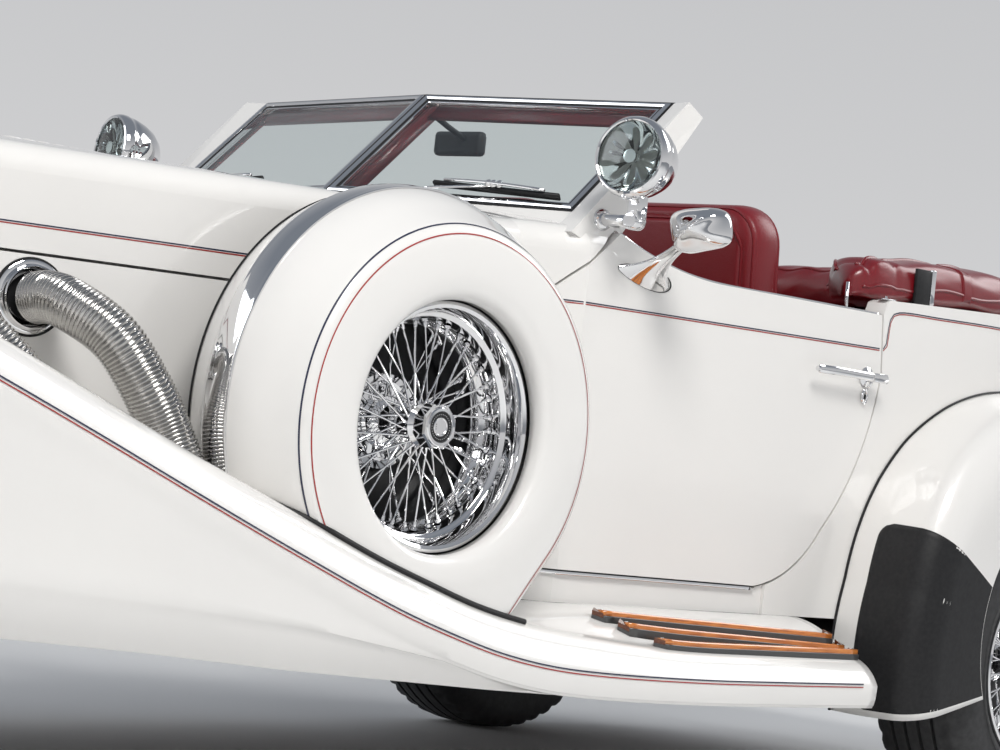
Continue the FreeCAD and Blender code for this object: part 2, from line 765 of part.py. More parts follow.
def make_spare_covers():
    outer = rounded_drum(cover_radius, cover_inner_y, cover_face_y, cover_edge_round, 0.0)
    outer = outer.fuse(crown_ring(0.0))
    inner = rounded_drum(cover_radius - cover_metal, cover_inner_y - 1, cover_face_y - cover_metal,
                         cover_edge_round - cover_metal, cover_metal)
    hollow = crown_ring(cover_metal)
    hollow = hollow.fuse(hollow.translated(Vector(0, -1, 0)))
    cover = outer.cut(inner).cut(hollow)
    lip = turned_y([(cover_hole_radius, cover_lip_y), (cover_hole_radius, cover_face_y - 6),
                    (cover_hole_radius + 6, cover_face_y), (cover_hole_radius + 14, cover_face_y),
                    (cover_hole_radius + 14, cover_face_y - cover_metal),
                    (cover_hole_radius + cover_metal, cover_face_y - 10),
                    (cover_hole_radius + cover_metal, cover_lip_y)], spare_x, spare_z)
    hole = rod((spare_x, cover_face_y - 40, spare_z), (spare_x, cover_face_y + 1, spare_z),
               cover_hole_radius + 10)
    cover = cover.cut(hole).fuse(lip)
    below = under_front_wing(seal_gap)
    cover = cover.cut(below)
    save("spare_covers", both_sides(cover))
    bends = []
    for out in (soft_gap, soft_gap + band_metal):
        low_y, high_y = band_edges
        mid_y = (low_y + high_y) / 2
        bends.append([(spare_x + crown_radius(y) + out, y, spare_z) for y in (low_y, mid_y, high_y)])
    under, over = bends
    edges = [arc(*under), line(under[2], over[2]), arc(over[2], over[1], over[0]), line(over[0], under[0])]
    ring = Part.Face(Part.Wire(edges)).revolve(Vector(spare_x, 0, spare_z), Vector(0, 1, 0), 360)
    for high_x, high_z in ((cover_crown_rear_x, spare_z + 500), (spare_x, spare_z)):
        ring = ring.cut(block(spare_x - 500, high_x, band_edges[0] - 1, band_edges[1] + 1,
                              spare_z - 500, high_z))
    ring = ring.cut(below)
    save("spare_bands", both_sides(ring))


# Bonnet, cowl and body sides

def top_arc_points(x, half_width, centre_z, start_y, drop):
    # Rounded top line from the centre strip to the side, at one station.
    shoulder_y = half_width - bonnet_shoulder
    mid_y = (start_y + shoulder_y) / 2
    share = (mid_y / shoulder_y) ** 2
    return {
        "centre": (x, start_y, centre_z),
        "middle": (x, mid_y, centre_z - drop * share),
        "shoulder": (x, shoulder_y, centre_z - drop),
        "round": (x, half_width - bonnet_shoulder * 0.26, centre_z - drop - bonnet_shoulder * 0.34),
        "side": (x, half_width, centre_z - drop - bonnet_shoulder),
        "seam": (x, half_width, bonnet_seam_z),
    }


def hood_section(x, half_width, centre_z, start_y, drop, metal):
    top = top_arc_points(x, half_width, centre_z, start_y, drop)
    under = {name: (px, py, pz - metal) for name, (px, py, pz) in top.items()}
    under["round"] = (x, top["round"][1] - metal * 0.7, top["round"][2] - metal * 0.7)
    under["side"] = (x, half_width - metal, top["side"][2])
    under["seam"] = (x, half_width - metal, bonnet_seam_z)
    edges = [
        arc(top["centre"], top["middle"], top["shoulder"]),
        arc(top["shoulder"], top["round"], top["side"]),
        line(top["side"], top["seam"]),
        line(top["seam"], under["seam"]),
        line(under["seam"], under["side"]),
        arc(under["side"], under["round"], under["shoulder"]),
        arc(under["shoulder"], under["middle"], under["centre"]),
        line(under["centre"], top["centre"]),
    ]
    return Part.Wire(edges)


def make_bonnet():
    front_x = radiator_x - panel_gap
    rear_x = bonnet_rear_x + panel_gap
    wires = []
    for x in (front_x, rear_x):
        wires.append(hood_section(x, plan_y(x), bonnet_top_z, bonnet_hinge_y, bonnet_drop, bonnet_metal))
    left = Part.makeLoft(wires, True, True)
    # Each half turns on a long pin beside the centre strip, held by lugs.
    pin_z = bonnet_top_z - bonnet_barrel_radius + 2
    spine = block(bonnet_rear_x, radiator_x, -spine_half_width, spine_half_width,
                  bonnet_top_z - 14, bonnet_top_z + 3)
    bay = (radiator_x - bonnet_rear_x - bonnet_lug_length) / bonnet_bays
    pin = rod((bonnet_rear_x, bonnet_hinge_y, pin_z), (radiator_x, bonnet_hinge_y, pin_z), bonnet_pin_radius)
    fixed = [pin]
    for index in range(bonnet_bays + 1):
        x = bonnet_rear_x + index * bay
        end = (x + bonnet_lug_length, bonnet_hinge_y, pin_z)
        lug = rod((x, bonnet_hinge_y, pin_z), end, bonnet_barrel_radius)
        web = block(x, x + bonnet_lug_length, 0, bonnet_hinge_y, pin_z - 4, pin_z + 4)
        fixed.append(lug.fuse(web))
        slot = rod((x - 1, bonnet_hinge_y, pin_z), (end[0] + 1, bonnet_hinge_y, pin_z),
                   bonnet_barrel_radius + 1)
        left = left.cut(slot)
        if index < bonnet_bays:
            barrel = rod((x + bonnet_lug_length + 1, bonnet_hinge_y, pin_z),
                         (x + bay - 1, bonnet_hinge_y, pin_z), bonnet_barrel_radius)
            left = left.fuse(barrel)
    left = left.cut(rod((bonnet_rear_x - 1, bonnet_hinge_y, pin_z), (radiator_x + 1, bonnet_hinge_y, pin_z),
                        bonnet_pin_radius + soft_gap))
    save("bonnet_left", [left])
    save("bonnet_right", [other_side(left)])
    pieces = fixed + [other_side(piece) for piece in fixed]
    save("bonnet_spine", [spine.multiFuse(pieces)])
    panel = plan_strip(bonnet_metal, side_panel_bottom, bonnet_seam_z - panel_gap)
    panel = panel.common(block(bonnet_rear_x, radiator_x, 0, 900, 0, 2000))
    save("bonnet_sides", both_sides(panel))


def door_wire(grow):
    # Outline of the left door in X and Z, enlarged all round by grow.
    y = 0.0
    edges = [
        line((door_peak_x, y, door_peak_z), (door_front_x, y, door_front_z)),
        line((door_front_x, y, door_front_z), (door_front_x, y, door_bottom)),
        line((door_front_x, y, door_bottom), (-605, y, door_bottom_rear)),
        arc((-605, y, door_bottom_rear), (-705, y, 511), (-787, y, 593)),
        arc((-787, y, 593), (-885, y, 752), (-926, y, 920)),
        line((-926, y, 920), (-913, y, door_top_z)),
        line((-913, y, door_top_z), (-420, y, door_top_z + 6)),
        arc((-420, y, door_top_z + 6), (-266, y, door_top_z + 26), (door_peak_x, y, door_peak_z)),
    ]
    wire = Part.Wire(edges)
    if grow:
        wire = wire.makeOffset2D(grow)
    return wire


def door_prism(grow):
    face = Part.Face(door_wire(grow))
    prism = face.extrude(Vector(0, 900, 0))
    return prism


def make_doors():
    wall_piece = plan_strip(wall, body_bottom, 1200)
    # The door's inner half is smaller, which leaves room for its front edge to swing.
    skin = plan_strip(wall / 2, body_bottom, 1200).common(door_prism(0))
    left = wall_piece.common(door_prism(-door_step)).fuse(skin).removeSplitter()
    for z in door_hinge_heights:
        _, turning = hinge((door_hinge_x, door_hinge_y, z), (0, 0, 1), door_hinge_length, 7, 3)
        third = door_hinge_length / 6 - soft_gap
        web = block(door_hinge_x - 16, door_hinge_x - 4, door_hinge_y - 30, door_hinge_y + 4,
                    z - third, z + third)
        left = left.fuse(web).fuse(turning)
    save("door_left", [left])
    save("door_right", [other_side(left)])


def quarter_outline():
    # Side view of the body behind the doors, as X and Z.
    front = [(-500, body_bottom), (-500, 820), (-905, 820), (-905, 1000), (-920, 1048), (-926, 1064),
             (-936, 1070), (-1330, 1082)]
    return front + tail_line()


def tail_line():
    # From the top's rear end over the deck and down the tail, as X and Z.
    return [(-1640, 1066), (-1900, 1010), (-2130, 900), (-2290, 750), (-2370, 600),
            (body_tail_x, 480), (-2340, body_bottom)]


def rear_arch(radius, y_low, y_high):
    return rod((rear_axle_x, y_low, tyre_radius), (rear_axle_x, y_high, tyre_radius), radius)


def make_body():
    opening = door_prism(panel_gap)
    side = plan_strip(wall, body_bottom, 1200)
    profile = quarter_outline()
    quarter = side.common(prism_y(profile, 0, 900)).cut(opening)
    quarter = quarter.common(block(body_tail_x - 1, -640, 0, 900, 0, 1300))
    arch_inner_y = door_rear_y - wall - 55
    arch = rear_arch(rear_arch_radius, arch_inner_y + panel_gap, 900)
    liner = rear_arch(rear_arch_radius + wing_metal, arch_inner_y, door_rear_y - 20)
    liner = liner.cut(rear_arch(rear_arch_radius, arch_inner_y + wing_metal, 900))
    liner = liner.common(block(-3000, 0, 0, 900, body_bottom, 1300))
    left = quarter.cut(arch).fuse(liner)
    inside = plan_block(0, 1300, wall)
    deck_outline = [(bulkhead_x, 1076)] + tail_line()
    deck_outline += [(-2310, body_bottom), (-2345, 480), (-2335, 590), (-2262, 728), (-2112, 876),
                     (-1892, 988), (-1640, 1044), (bulkhead_x, 1056)]
    deck = prism_y(deck_outline, -700, 700).common(inside)
    lid = deck.common(block(lid_rear_x, lid_front_x, -lid_half, lid_half, 800, 1200))
    deck = deck.cut(block(lid_rear_x - panel_gap, lid_front_x + panel_gap, -lid_half - panel_gap,
                          lid_half + panel_gap, 800, 1200))
    bulkhead = block(bulkhead_x - 10, bulkhead_x, -700, 700, floor_top, 1056).common(inside)
    for side_shape in both_sides(arch):
        bulkhead = bulkhead.cut(side_shape)
    pieces = [other_side(left), deck, bulkhead]
    hinge_x = lid_front_x + panel_gap / 2
    hinge_z = lid_hinge_z
    for side_y in (-lid_half * 0.7, lid_half * 0.7):
        fixed, turning = hinge((hinge_x, side_y, hinge_z), (0, 1, 0), 60, 7, 3)
        wide = block(hinge_x + 4, hinge_x + 30, side_y - 30, side_y + 30, hinge_z - 16, hinge_z - 4)
        link = block(hinge_x, hinge_x + 12, side_y - 30, side_y + 30, hinge_z - 5, hinge_z + 3)
        link = link.cut(block(hinge_x - 5, hinge_x + 20, side_y - 10.4, side_y + 10.4, hinge_z - 20, hinge_z + 9))
        wide = wide.cut(block(hinge_x - 5, hinge_x + 9, side_y - 10.4, side_y + 10.4, hinge_z - 20, hinge_z + 9))
        pieces.extend([fixed, wide, link])
        tab = block(hinge_x - 30, hinge_x - 3, side_y - 9, side_y + 9, hinge_z - 14, hinge_z - 4)
        arm = block(hinge_x - 12, hinge_x - 4, side_y - 9, side_y + 9, hinge_z - 5, hinge_z + 3)
        lid = lid.fuse(tab).fuse(arm).fuse(turning)
    body = left.multiFuse(pieces).removeSplitter()
    save("body_rear", [body])
    save("boot_lid", [lid])

    recess = 8.0
    sill = plan_strip(wall - recess, body_bottom, door_bottom, recess).cut(door_prism(panel_gap))
    sill = sill.common(block(-640, door_front_x + panel_gap, 0, 900, 0, 1300))
    save("sills", both_sides(sill))

    floor = plan_block(rail_top, floor_top, wall + floor_inset)
    floor = floor.common(block(-2330, firewall_x - seal_gap, -900, 900, 0, 1300))
    for side_shape in both_sides(rear_arch(rear_arch_radius + wing_metal + 0.5, arch_inner_y - 0.5, 900)):
        floor = floor.cut(side_shape)
    save("floor_pan", [floor])


def screen_normal():
    foot = Vector(*screen_apex_foot)
    across = Vector(*screen_corner_foot) - foot
    up = Vector(*screen_apex_head) - foot
    return across.cross(up).normalize()


def screen_corner(point, back):
    # A corner of the screen, laid in the plane of the other three, and moved back.
    normal = screen_normal()
    corner = Vector(*point)
    foot = Vector(*screen_apex_foot)
    flat = corner - normal * (corner - foot).dot(normal)
    return flat - normal * back


def faceted(low, high):
    # A solid between two rings of as many corners, with flat three-cornered faces.
    count = len(low)
    faces = []
    for index in range(count):
        after = (index + 1) % count
        quad = (low[index], low[after], high[after], high[index])
        faces.append(face_of([quad[0], quad[1], quad[2]]))
        faces.append(face_of([quad[0], quad[2], quad[3]]))
    for ring in (low, high):
        for index in range(1, count - 1):
            faces.append(face_of([ring[0], ring[index], ring[index + 1]]))
    solid = Part.makeSolid(Part.makeShell(faces))
    if solid.Volume < 0:
        solid.reverse()
    return solid


def screen_pillar():
    head_front = screen_corner(screen_corner_head, 0)
    head_back = screen_corner(screen_corner_head, screen_depth)
    foot_front = screen_corner(screen_corner_foot, 0)
    foot_back = screen_corner(screen_corner_foot, screen_depth)
    down = (foot_front - head_front).normalize() * 60
    low = [foot_front + down, Vector(-22, 640, 1095), Vector(-112, 652, 1062), foot_back + down]
    high = [head_front, Vector(-313, 638, 1379), Vector(-358, 638, 1356), head_back]
    return faceted(low, high)


def screen_plinth():
    # White ledge in front of the screen's lower bar, from the middle to the corner.
    rings = []
    for corner, ahead, fall in ((screen_apex_foot, 30, 6), (screen_corner_foot, 34, 40)):
        front = screen_corner(corner, 0)
        back = screen_corner(corner, screen_depth)
        back.y = front.y
        front_low = Vector(front.x + ahead, front.y, front.z - fall - 20)
        rings.append([front, Vector(front.x + ahead, front.y, front.z - fall), front_low,
                      Vector(back.x - 20, back.y, back.z - fall - 12), back])
    return faceted(rings[0], rings[1])


def make_cowl():
    opening = door_prism(panel_gap)
    side = plan_strip(cowl_wall, body_bottom, 1060)
    front_part = side.common(block(door_front_x + panel_gap, bonnet_rear_x, 0, 900, 0, 1300))
    wedge = side.common(block(cowl_rear_x, door_front_x + panel_gap, 0, 900, door_front_z - 20, 1300))
    wedge = wedge.cut(opening)
    wires = []
    rear_z = cowl_top_rear_z
    for x, inset, centre_z in ((bonnet_rear_x, 0, bonnet_top_z), (200.0, 0, bonnet_top_z + 4),
                               (cowl_waist_x, 1, rear_z - 5), (20.0, 1, rear_z - 3), (-20.0, 1, rear_z - 2),
                               (flare_end_x, 1, rear_z - 1), (cowl_rear_x, 1, rear_z)):
        wires.append(hood_section(x, half_width(x) - inset, centre_z, 0.0, 36.0, cowl_metal))
    top = Part.makeLoft(wires, True, True).cut(opening)
    # Behind the screen, whose foot is a V in plan, the cockpit is open.
    edge_front = screen_apex_foot[0] + cowl_edge_lead
    edge_side = screen_corner_foot[0] + cowl_edge_lead
    behind = prism_z([(edge_front, 0), (edge_side, cowl_edge_half),
                      (edge_side - 200, cowl_edge_half), (edge_side - 200, 0)], 900, 1300)
    top = max(top.cut(behind).Solids, key=lambda solid: solid.Volume)
    firewall = block(firewall_x, firewall_x + cowl_metal, -700, 700, member_bottom, 1090)
    firewall = firewall.common(plan_block(0, 1300, cowl_wall))
    for side_y in (-1, 1):
        rail_y = sorted((side_y * rail_inner_y, side_y * rail_outer_y))
        firewall = firewall.cut(block(0, bonnet_rear_x, rail_y[0], rail_y[1], 0, rail_top))
    fixed_hinges = []
    for z in door_hinge_heights:
        fixed, _ = hinge((door_hinge_x, door_hinge_y, z), (0, 0, 1), door_hinge_length, 7, 3)
        web = block(door_hinge_x, door_hinge_x + 16, door_hinge_y - 30, door_hinge_y + 4,
                    z - door_hinge_length / 2, z + door_hinge_length / 2)
        third = door_hinge_length / 6
        web = web.cut(block(door_hinge_x - 20, door_hinge_x + 9, 500, 700, z - third, z + third))
        fixed_hinges.extend([fixed, web.cut(plan_block(0, 1300, 0.0).cut(front_part)).cut(opening)])
    left = front_part.multiFuse([wedge, top, screen_pillar().cut(opening), screen_plinth()] + fixed_hinges)
    left = left.cut(screen_plate(0.0, screen_depth, -screen_depth))
    cowl = left.multiFuse([other_side(left), firewall]).removeSplitter()
    save("cowl", [cowl])


# Rear wings

def rear_wing_point(angle, radius, y):
    turn = math.radians(angle)
    return (rear_axle_x + radius * math.cos(turn), y, tyre_radius + radius * math.sin(turn))


def rear_wing_section(section):
    angle, body_radius, extra = section
    t = wing_metal
    crown = body_radius + extra

    def at(radius, y):
        return rear_wing_point(angle, radius, y)

    edges = [
        arc(at(body_radius, 560), at(crown, 730), at(crown, rear_crown_y)),
        arc(at(crown, rear_crown_y), at(crown - 22, wing_side_y - 20), at(crown - 70, wing_side_y)),
        line(at(crown - 70, wing_side_y), at(rear_arch_radius, wing_side_y)),
        line(at(rear_arch_radius, wing_side_y), at(rear_arch_radius, wing_side_y - t)),
        line(at(rear_arch_radius, wing_side_y - t), at(crown - 70, wing_side_y - t)),
        arc(at(crown - 70, wing_side_y - t), at(crown - 22 - t * 0.7, wing_side_y - 20 - t * 0.7),
            at(crown - t, rear_crown_y)),
        arc(at(crown - t, rear_crown_y), at(crown - t, 730), at(body_radius - t, 560)),
        line(at(body_radius - t, 560), at(body_radius, 560)),
    ]
    return Part.Wire(edges)


def make_rear_wings():
    wing = Part.makeLoft([rear_wing_section(s) for s in rear_wing_sections], True, False)
    wing = wing.cut(plan_block(150, 1400, -soft_gap))
    save("rear_wings", both_sides(wing))


# Front end

def make_front_end():
    half = radiator_half_width + 12
    top = bonnet_top_z + 12
    outline = [(-half, 560), (-half, 1000), (-half + 20, 1070), (-half + 90, 1120), (-30, top), (30, top),
               (half - 90, 1120), (half - 20, 1070), (half, 1000), (half, 560)]
    inner = [(-half + 34, 590), (-half + 34, 1000), (-half + 50, 1050), (-half + 110, 1090), (0, top - 40),
             (half - 110, 1090), (half - 50, 1050), (half - 34, 1000), (half - 34, 590)]
    depth = 85.0
    shell = prism_x(outline, radiator_x, radiator_x + depth)
    shell = shell.cut(prism_x(inner, radiator_x + 20, radiator_x + depth + 1))
    foot = block(radiator_x, radiator_x + depth, -rail_outer_y, rail_outer_y, rail_top, 560)
    save("radiator_shell", [shell.fuse(foot)])
    slats = []
    count = 19
    width = 2 * half - 76
    for index in range(count):
        y = -width / 2 + (index + 0.5) * width / count
        reach = 1088 - max(0.0, abs(y) - half + 120) * 0.62
        slats.append(block(radiator_x + 30, radiator_x + depth - 12, y - 3, y + 3, 590, reach))
    backing = prism_x([(y * 0.998, z) for y, z in inner], radiator_x + 20, radiator_x + 30)
    within = prism_x([(y * 0.998, z - 2) for y, z in inner], radiator_x + 20, radiator_x + depth)
    save("grille_core", [backing.multiFuse(slats).common(within)])

    inner_y = 566.0
    lamp_bar = rod((lamp_bar_x, -inner_y, lamp_bar_z + 68), (lamp_bar_x, inner_y, lamp_bar_z + 68),
                   lamp_bar_radius)
    pieces = []
    for side in (-1, 1):
        pieces.append(rod((lamp_bar_x, side * (rail_outer_y - 35), rail_top),
                          (lamp_bar_x, side * (rail_outer_y - 35), lamp_bar_z + 68), 14))
        pieces.append(block(lamp_bar_x - 30, lamp_bar_x + 30, min(side * 540, side * 590),
                            max(side * 540, side * 590), lamp_bar_z + 56, lamp_bar_z + 72))
        pieces.append(rod((lamp_bar_x, side * headlamp_y, lamp_bar_z + 60),
                          (lamp_bar_x, side * headlamp_y, headlamp_z - headlamp_radius + 2), 15))
    stand = lamp_bar.multiFuse(pieces)
    r = headlamp_radius
    shell = turned_x([(headlamp_x, 0), (headlamp_x, r - 6), (headlamp_x - 18, r), (headlamp_x - 60, r - 4),
                      (headlamp_x - 130, r * 0.78), (headlamp_x - 190, r * 0.42), (headlamp_x - 215, 0)],
                     headlamp_y, headlamp_z)
    shell.translate(Vector(60, 0, 0))
    for side_shape in both_sides(shell):
        stand = stand.cut(side_shape)
    save("lamp_bar", [stand])
    save("headlamps", both_sides(shell))


def bumper(end_x, direction):
    # direction is +1 at the nose and -1 at the tail.
    inner = end_x - direction * bumper_metal
    back = end_x - direction * bumper_sweep
    outer_arc = arc((back, -bumper_half, bumper_low), (end_x, 0, bumper_low), (back, bumper_half, bumper_low))
    back_in = back - direction * bumper_metal
    inner_arc = arc((back_in, bumper_half, bumper_low), (inner, 0, bumper_low),
                    (back_in, -bumper_half, bumper_low))
    wire = Part.Wire([outer_arc, line((back, bumper_half, bumper_low), (back_in, bumper_half, bumper_low)),
                      inner_arc, line((back_in, -bumper_half, bumper_low), (back, -bumper_half, bumper_low))])
    return Part.Face(wire).extrude(Vector(0, 0, bumper_high - bumper_low))


def make_bumpers():
    for name, end_x, direction, rail_end in (("front_bumper", nose_x, 1, rail_front_x),
                                             ("rear_bumper", tail_x, -1, rail_rear_x)):
        shape = bumper(end_x, direction)
        iron_y = (rail_inner_y + rail_outer_y) / 2
        sag = bumper_sweep * (iron_y / bumper_half) ** 2
        iron_end = end_x - direction * (bumper_metal + sag - 6)
        for side in (-1, 1):
            low, high = sorted((rail_end, iron_end))
            shape = shape.fuse(block(low, high, side * iron_y - 12, side * iron_y + 12,
                                     rail_bottom, body_bottom - soft_gap))
        save(name, [shape])


# Windscreen

def screen_plate(margin, thickness, offset):
    flat = [screen_corner(point, 0) for point in (screen_apex_foot, screen_corner_foot,
                                                  screen_corner_head, screen_apex_head)]
    wire = Part.makePolygon(flat + flat[:1])
    if margin:
        wire = wire.makeOffset2D(-margin, 2)
    plate = Part.Face(wire).extrude(screen_normal() * thickness)
    plate.translate(screen_normal() * offset)
    return plate


def make_windscreen():
    half = screen_plate(0.0, screen_depth, -screen_depth)
    half = half.cut(screen_plate(screen_bar, screen_depth + 4, -screen_depth - 2))
    half = half.common(block(-1000, 1000, 0, 1000, 0, 2000))
    frame = half.fuse(other_side(half))
    save("windscreen_frame", [frame.removeSplitter()])
    glass = screen_plate(screen_bar, glass_thickness, -(screen_depth + glass_thickness) / 2)
    save("windscreen_glass", both_sides(glass))


def make_spot_lamps():
    r = spot_radius
    shell = turned_x([(spot_x, 0), (spot_x, r - 5), (spot_x - 12, r), (spot_x - 34, r - 3),
                      (spot_x - 80, r * 0.78), (spot_x - 118, r * 0.42), (spot_x - 132, 0)],
                     spot_y, spot_z)
    joint = (spot_x - 50, spot_y - 10, spot_z - r - 14)
    neck = rod(joint, (spot_x - 50, spot_y - 6, spot_z - r + 12), 14)
    arm = rod((-112, 620, 1128), joint, 12)
    arm = arm.cut(screen_pillar())
    arm = max(arm.Solids, key=lambda solid: solid.BoundBox.YMax)
    save("spot_lamps", both_sides(shell.fuse(neck).fuse(arm)))


# Exhaust hoses

def rounded_path(points, share=0.45):
    # Straight runs joined by tangent arcs, as large as the shorter run beside them allows.
    corners = [Vector(*point) for point in points]
    edges = []
    start = corners[0]
    for before, corner, after in zip(corners, corners[1:], corners[2:]):
        back = (before - corner).normalize()
        ahead = (after - corner).normalize()
        turn = math.pi - back.getAngle(ahead)
        cut = share * min((before - corner).Length, (after - corner).Length)
        radius = cut / math.tan(turn / 2)
        enter = corner + back * cut
        leave = corner + ahead * cut
        centre_way = (back + ahead).normalize()
        centre = corner + centre_way * (radius / math.cos(turn / 2))
        middle = centre - centre_way * radius
        edges.append(Part.makeLine(start, enter))
        edges.append(Part.Arc(enter, middle, leave).toShape())
        start = leave
    edges.append(Part.makeLine(start, corners[-1]))
    return Part.Wire(edges)


def make_hoses():
    hoses = []
    for x in hose_places:
        side_y = plan_y(x)
        rise = front_wing_height(x - 250) - front_wing_height(hose_places[0] - 250)
        points = [(x, side_y, hose_flange_z), (x + 2, 575, hose_flange_z + 2),
                  (x - 86, 628, 735 + rise * 0.4), (x - 187, 658, 500 + rise)]
        path = rounded_path(points)
        first = Part.Wire(Part.makeCircle(hose_radius, Vector(*points[0]), Vector(0, 1, 0)))
        tube = path.makePipeShell([first], True, False)
        flange = rod((x, side_y - 20, hose_flange_z), (x, side_y + hose_flange_thickness, hose_flange_z),
                     hose_flange_radius)
        hoses.append(tube.fuse(flange))
    below = under_front_wing(soft_gap)
    inside = plan_block(0, 1400, -soft_gap)
    for index, hose in enumerate(hoses):
        hoses[index] = hose.cut(below).cut(inside)
    save("exhaust_hoses", hoses + [other_side(hose) for hose in hoses])


# Running board strips: y of the middle, front x, rear x
step_strip_rows = (
    (690.0, -127.0, -838.0),
    (760.0, -127.0, -819.0),
    (840.0, -127.0, -768.0),
)
strip_width = 40.0
strip_height = 12.0


def make_step_strips():
    below = under_front_wing(soft_gap)
    body = plan_block(300, 480, -soft_gap)
    strips = []
    for y, front_x, rear_x in step_strip_rows:
        rear_x = max(rear_x, front_wing_stations[-1][0] + 4)
        column = block(rear_x, front_x, y - strip_width / 2, y + strip_width / 2, 300, 480)
        lifted = below.copy()
        lifted.translate(Vector(0, 0, strip_height))
        strips.append(column.common(lifted).cut(below).cut(body))
    save("step_strips", strips + [other_side(strip) for strip in strips])


# Cockpit

def rounded_block(x_low, x_high, y_low, y_high, z_low, z_high, radius):
    solid = block(x_low, x_high, y_low, y_high, z_low, z_high)
    return solid.makeFillet(radius, solid.Edges)


def make_cockpit():
    base = floor_top + soft_gap
    front = rounded_block(-645, -130, seat_inner_y, seat_outer_y, base, cushion_top, 30)
    rear = rounded_block(-1290, -930, -440, 440, base, cushion_top, 30)
    save("seat_cushions", both_sides(front) + [rear])
    back = rounded_block(-765, -645.5, seat_inner_y, seat_outer_y, base, backrest_top, 40)
    rear_back = rounded_block(-1420, -1290.5, -440, 440, base, 1078, 30)
    save("seat_backs", both_sides(back) + [rear_back])
    dash = block(-60, 60, -540, 540, 900, 1079)
    ends = block(door_front_x + panel_gap + 1, 60, -700, 700, 940, 1060)
    dash = dash.fuse(ends.common(plan_block(0, 1300, cowl_wall)))
    x, y, z = steering_centre
    rake = math.radians(steering_rake)
    axis = Vector(-math.cos(rake), 0, math.sin(rake))
    centre = Vector(x, y, z)
    column = Part.makeCylinder(22, 800, centre - axis * (hub_back + soft_gap + 800), axis)
    column = column.fuse(Part.makeCylinder(column_spigot, hub_back, centre - axis * (hub_back + 4), axis))
    column = column.common(block(x - steering_radius, firewall_x, 0, y + steering_radius, 0, cowl_top_rear_z))
    hanger = block(-60, 0, y - 30, y + 30, 820, 900)
    save("dashboard", [dash.fuse(hanger).fuse(column)])
    ring = Part.makeTorus(steering_radius - grip_radius, grip_radius, centre, axis)
    hub = Part.makeCylinder(38, 26, centre - axis * hub_back, axis)
    wheel = ring.fuse(hub)
    side_way = Vector(0, 1, 0)
    up_way = axis.cross(side_way)
    for angle in (90, 210, 330):
        turn = math.radians(angle)
        way = side_way * math.cos(turn) + up_way * math.sin(turn)
        end = centre + way * (steering_radius - grip_radius)
        wheel = wheel.fuse(Part.makeCylinder(8, (end - centre).Length, centre, way))
    socket = Part.makeCylinder(column_spigot + soft_gap, hub_back, centre - axis * (hub_back + 3), axis)
    save("steering_wheel", [wheel.cut(socket)])
    stack_side = [(-880, 1070), (-921, 1070), (-1330, 1082), (-1560, 1070), (-1560, stack_top), (-880, stack_top)]
    stack = prism_y([(px, pz + soft_gap) for px, pz in stack_side], -stack_half, stack_half)
    well = block(-1290, -800, -430, 430, 1000, 1300)
    stack = stack.cut(well)
    upper = [edge for edge in stack.Edges if edge.BoundBox.ZMax > stack_top]
    save("soft_top_stack", [stack.makeFillet(stack_round, upper)])


def make_door_fittings():
    outer_y = 692.0
    handle = rod((-700, outer_y + 26, 909), (-905, outer_y + 32, 909), 8)
    stalk = rod((-870, outer_y - 4, 909), (-870, outer_y + 30, 909), 10)
    handle = handle.fuse(stalk)
    foot = Part.makeCylinder(26, 14, Vector(-205, 664, 1008), Vector(0, 1, 0))
    arm = rod((-205, 676, 1010), (-195, 775, 1110), 9)
    head = Part.makeCylinder(48, 30, Vector(-172, 805, 1124), Vector(-1, 0, 0))
    fittings = [handle, foot.fuse(arm).fuse(head)]
    trimmed = []
    inside = plan_block(0, 1400, 0.0)
    for piece in fittings:
        trimmed.append(piece.cut(inside))
    save("door_left_fittings", trimmed)
    save("door_right_fittings", [other_side(piece) for piece in trimmed])


def make_tail_lamps():
    lamps = []
    for z in tail_lamp_heights:
        lamp = rod((body_tail_x + 80, tail_lamp_y, z), (body_tail_x - 20, tail_lamp_y, z), tail_lamp_radius)
        lamps.append(lamp.cut(prism_y(quarter_outline(), 0, 900)))
    save("tail_lamps", lamps + [other_side(lamp) for lamp in lamps])


def main():
    os.makedirs("parts", exist_ok=True)
    make_frame()
    make_front_axle()
    make_knuckles()
    make_rear_axle()
    make_engine()
    make_wheels()
    make_front_wings()
    make_spare_covers()
    make_bonnet()
    make_doors()
    make_body()
    make_cowl()
    make_rear_wings()
    make_front_end()
    make_bumpers()
    make_windscreen()
    make_spot_lamps()
    make_hoses()
    make_step_strips()
    make_cockpit()
    make_door_fittings()
    make_tail_lamps()


main()
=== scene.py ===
import json
import math
from contextlib import contextmanager

import bmesh
import bpy
import numpy as np
from mathutils import Matrix, Vector

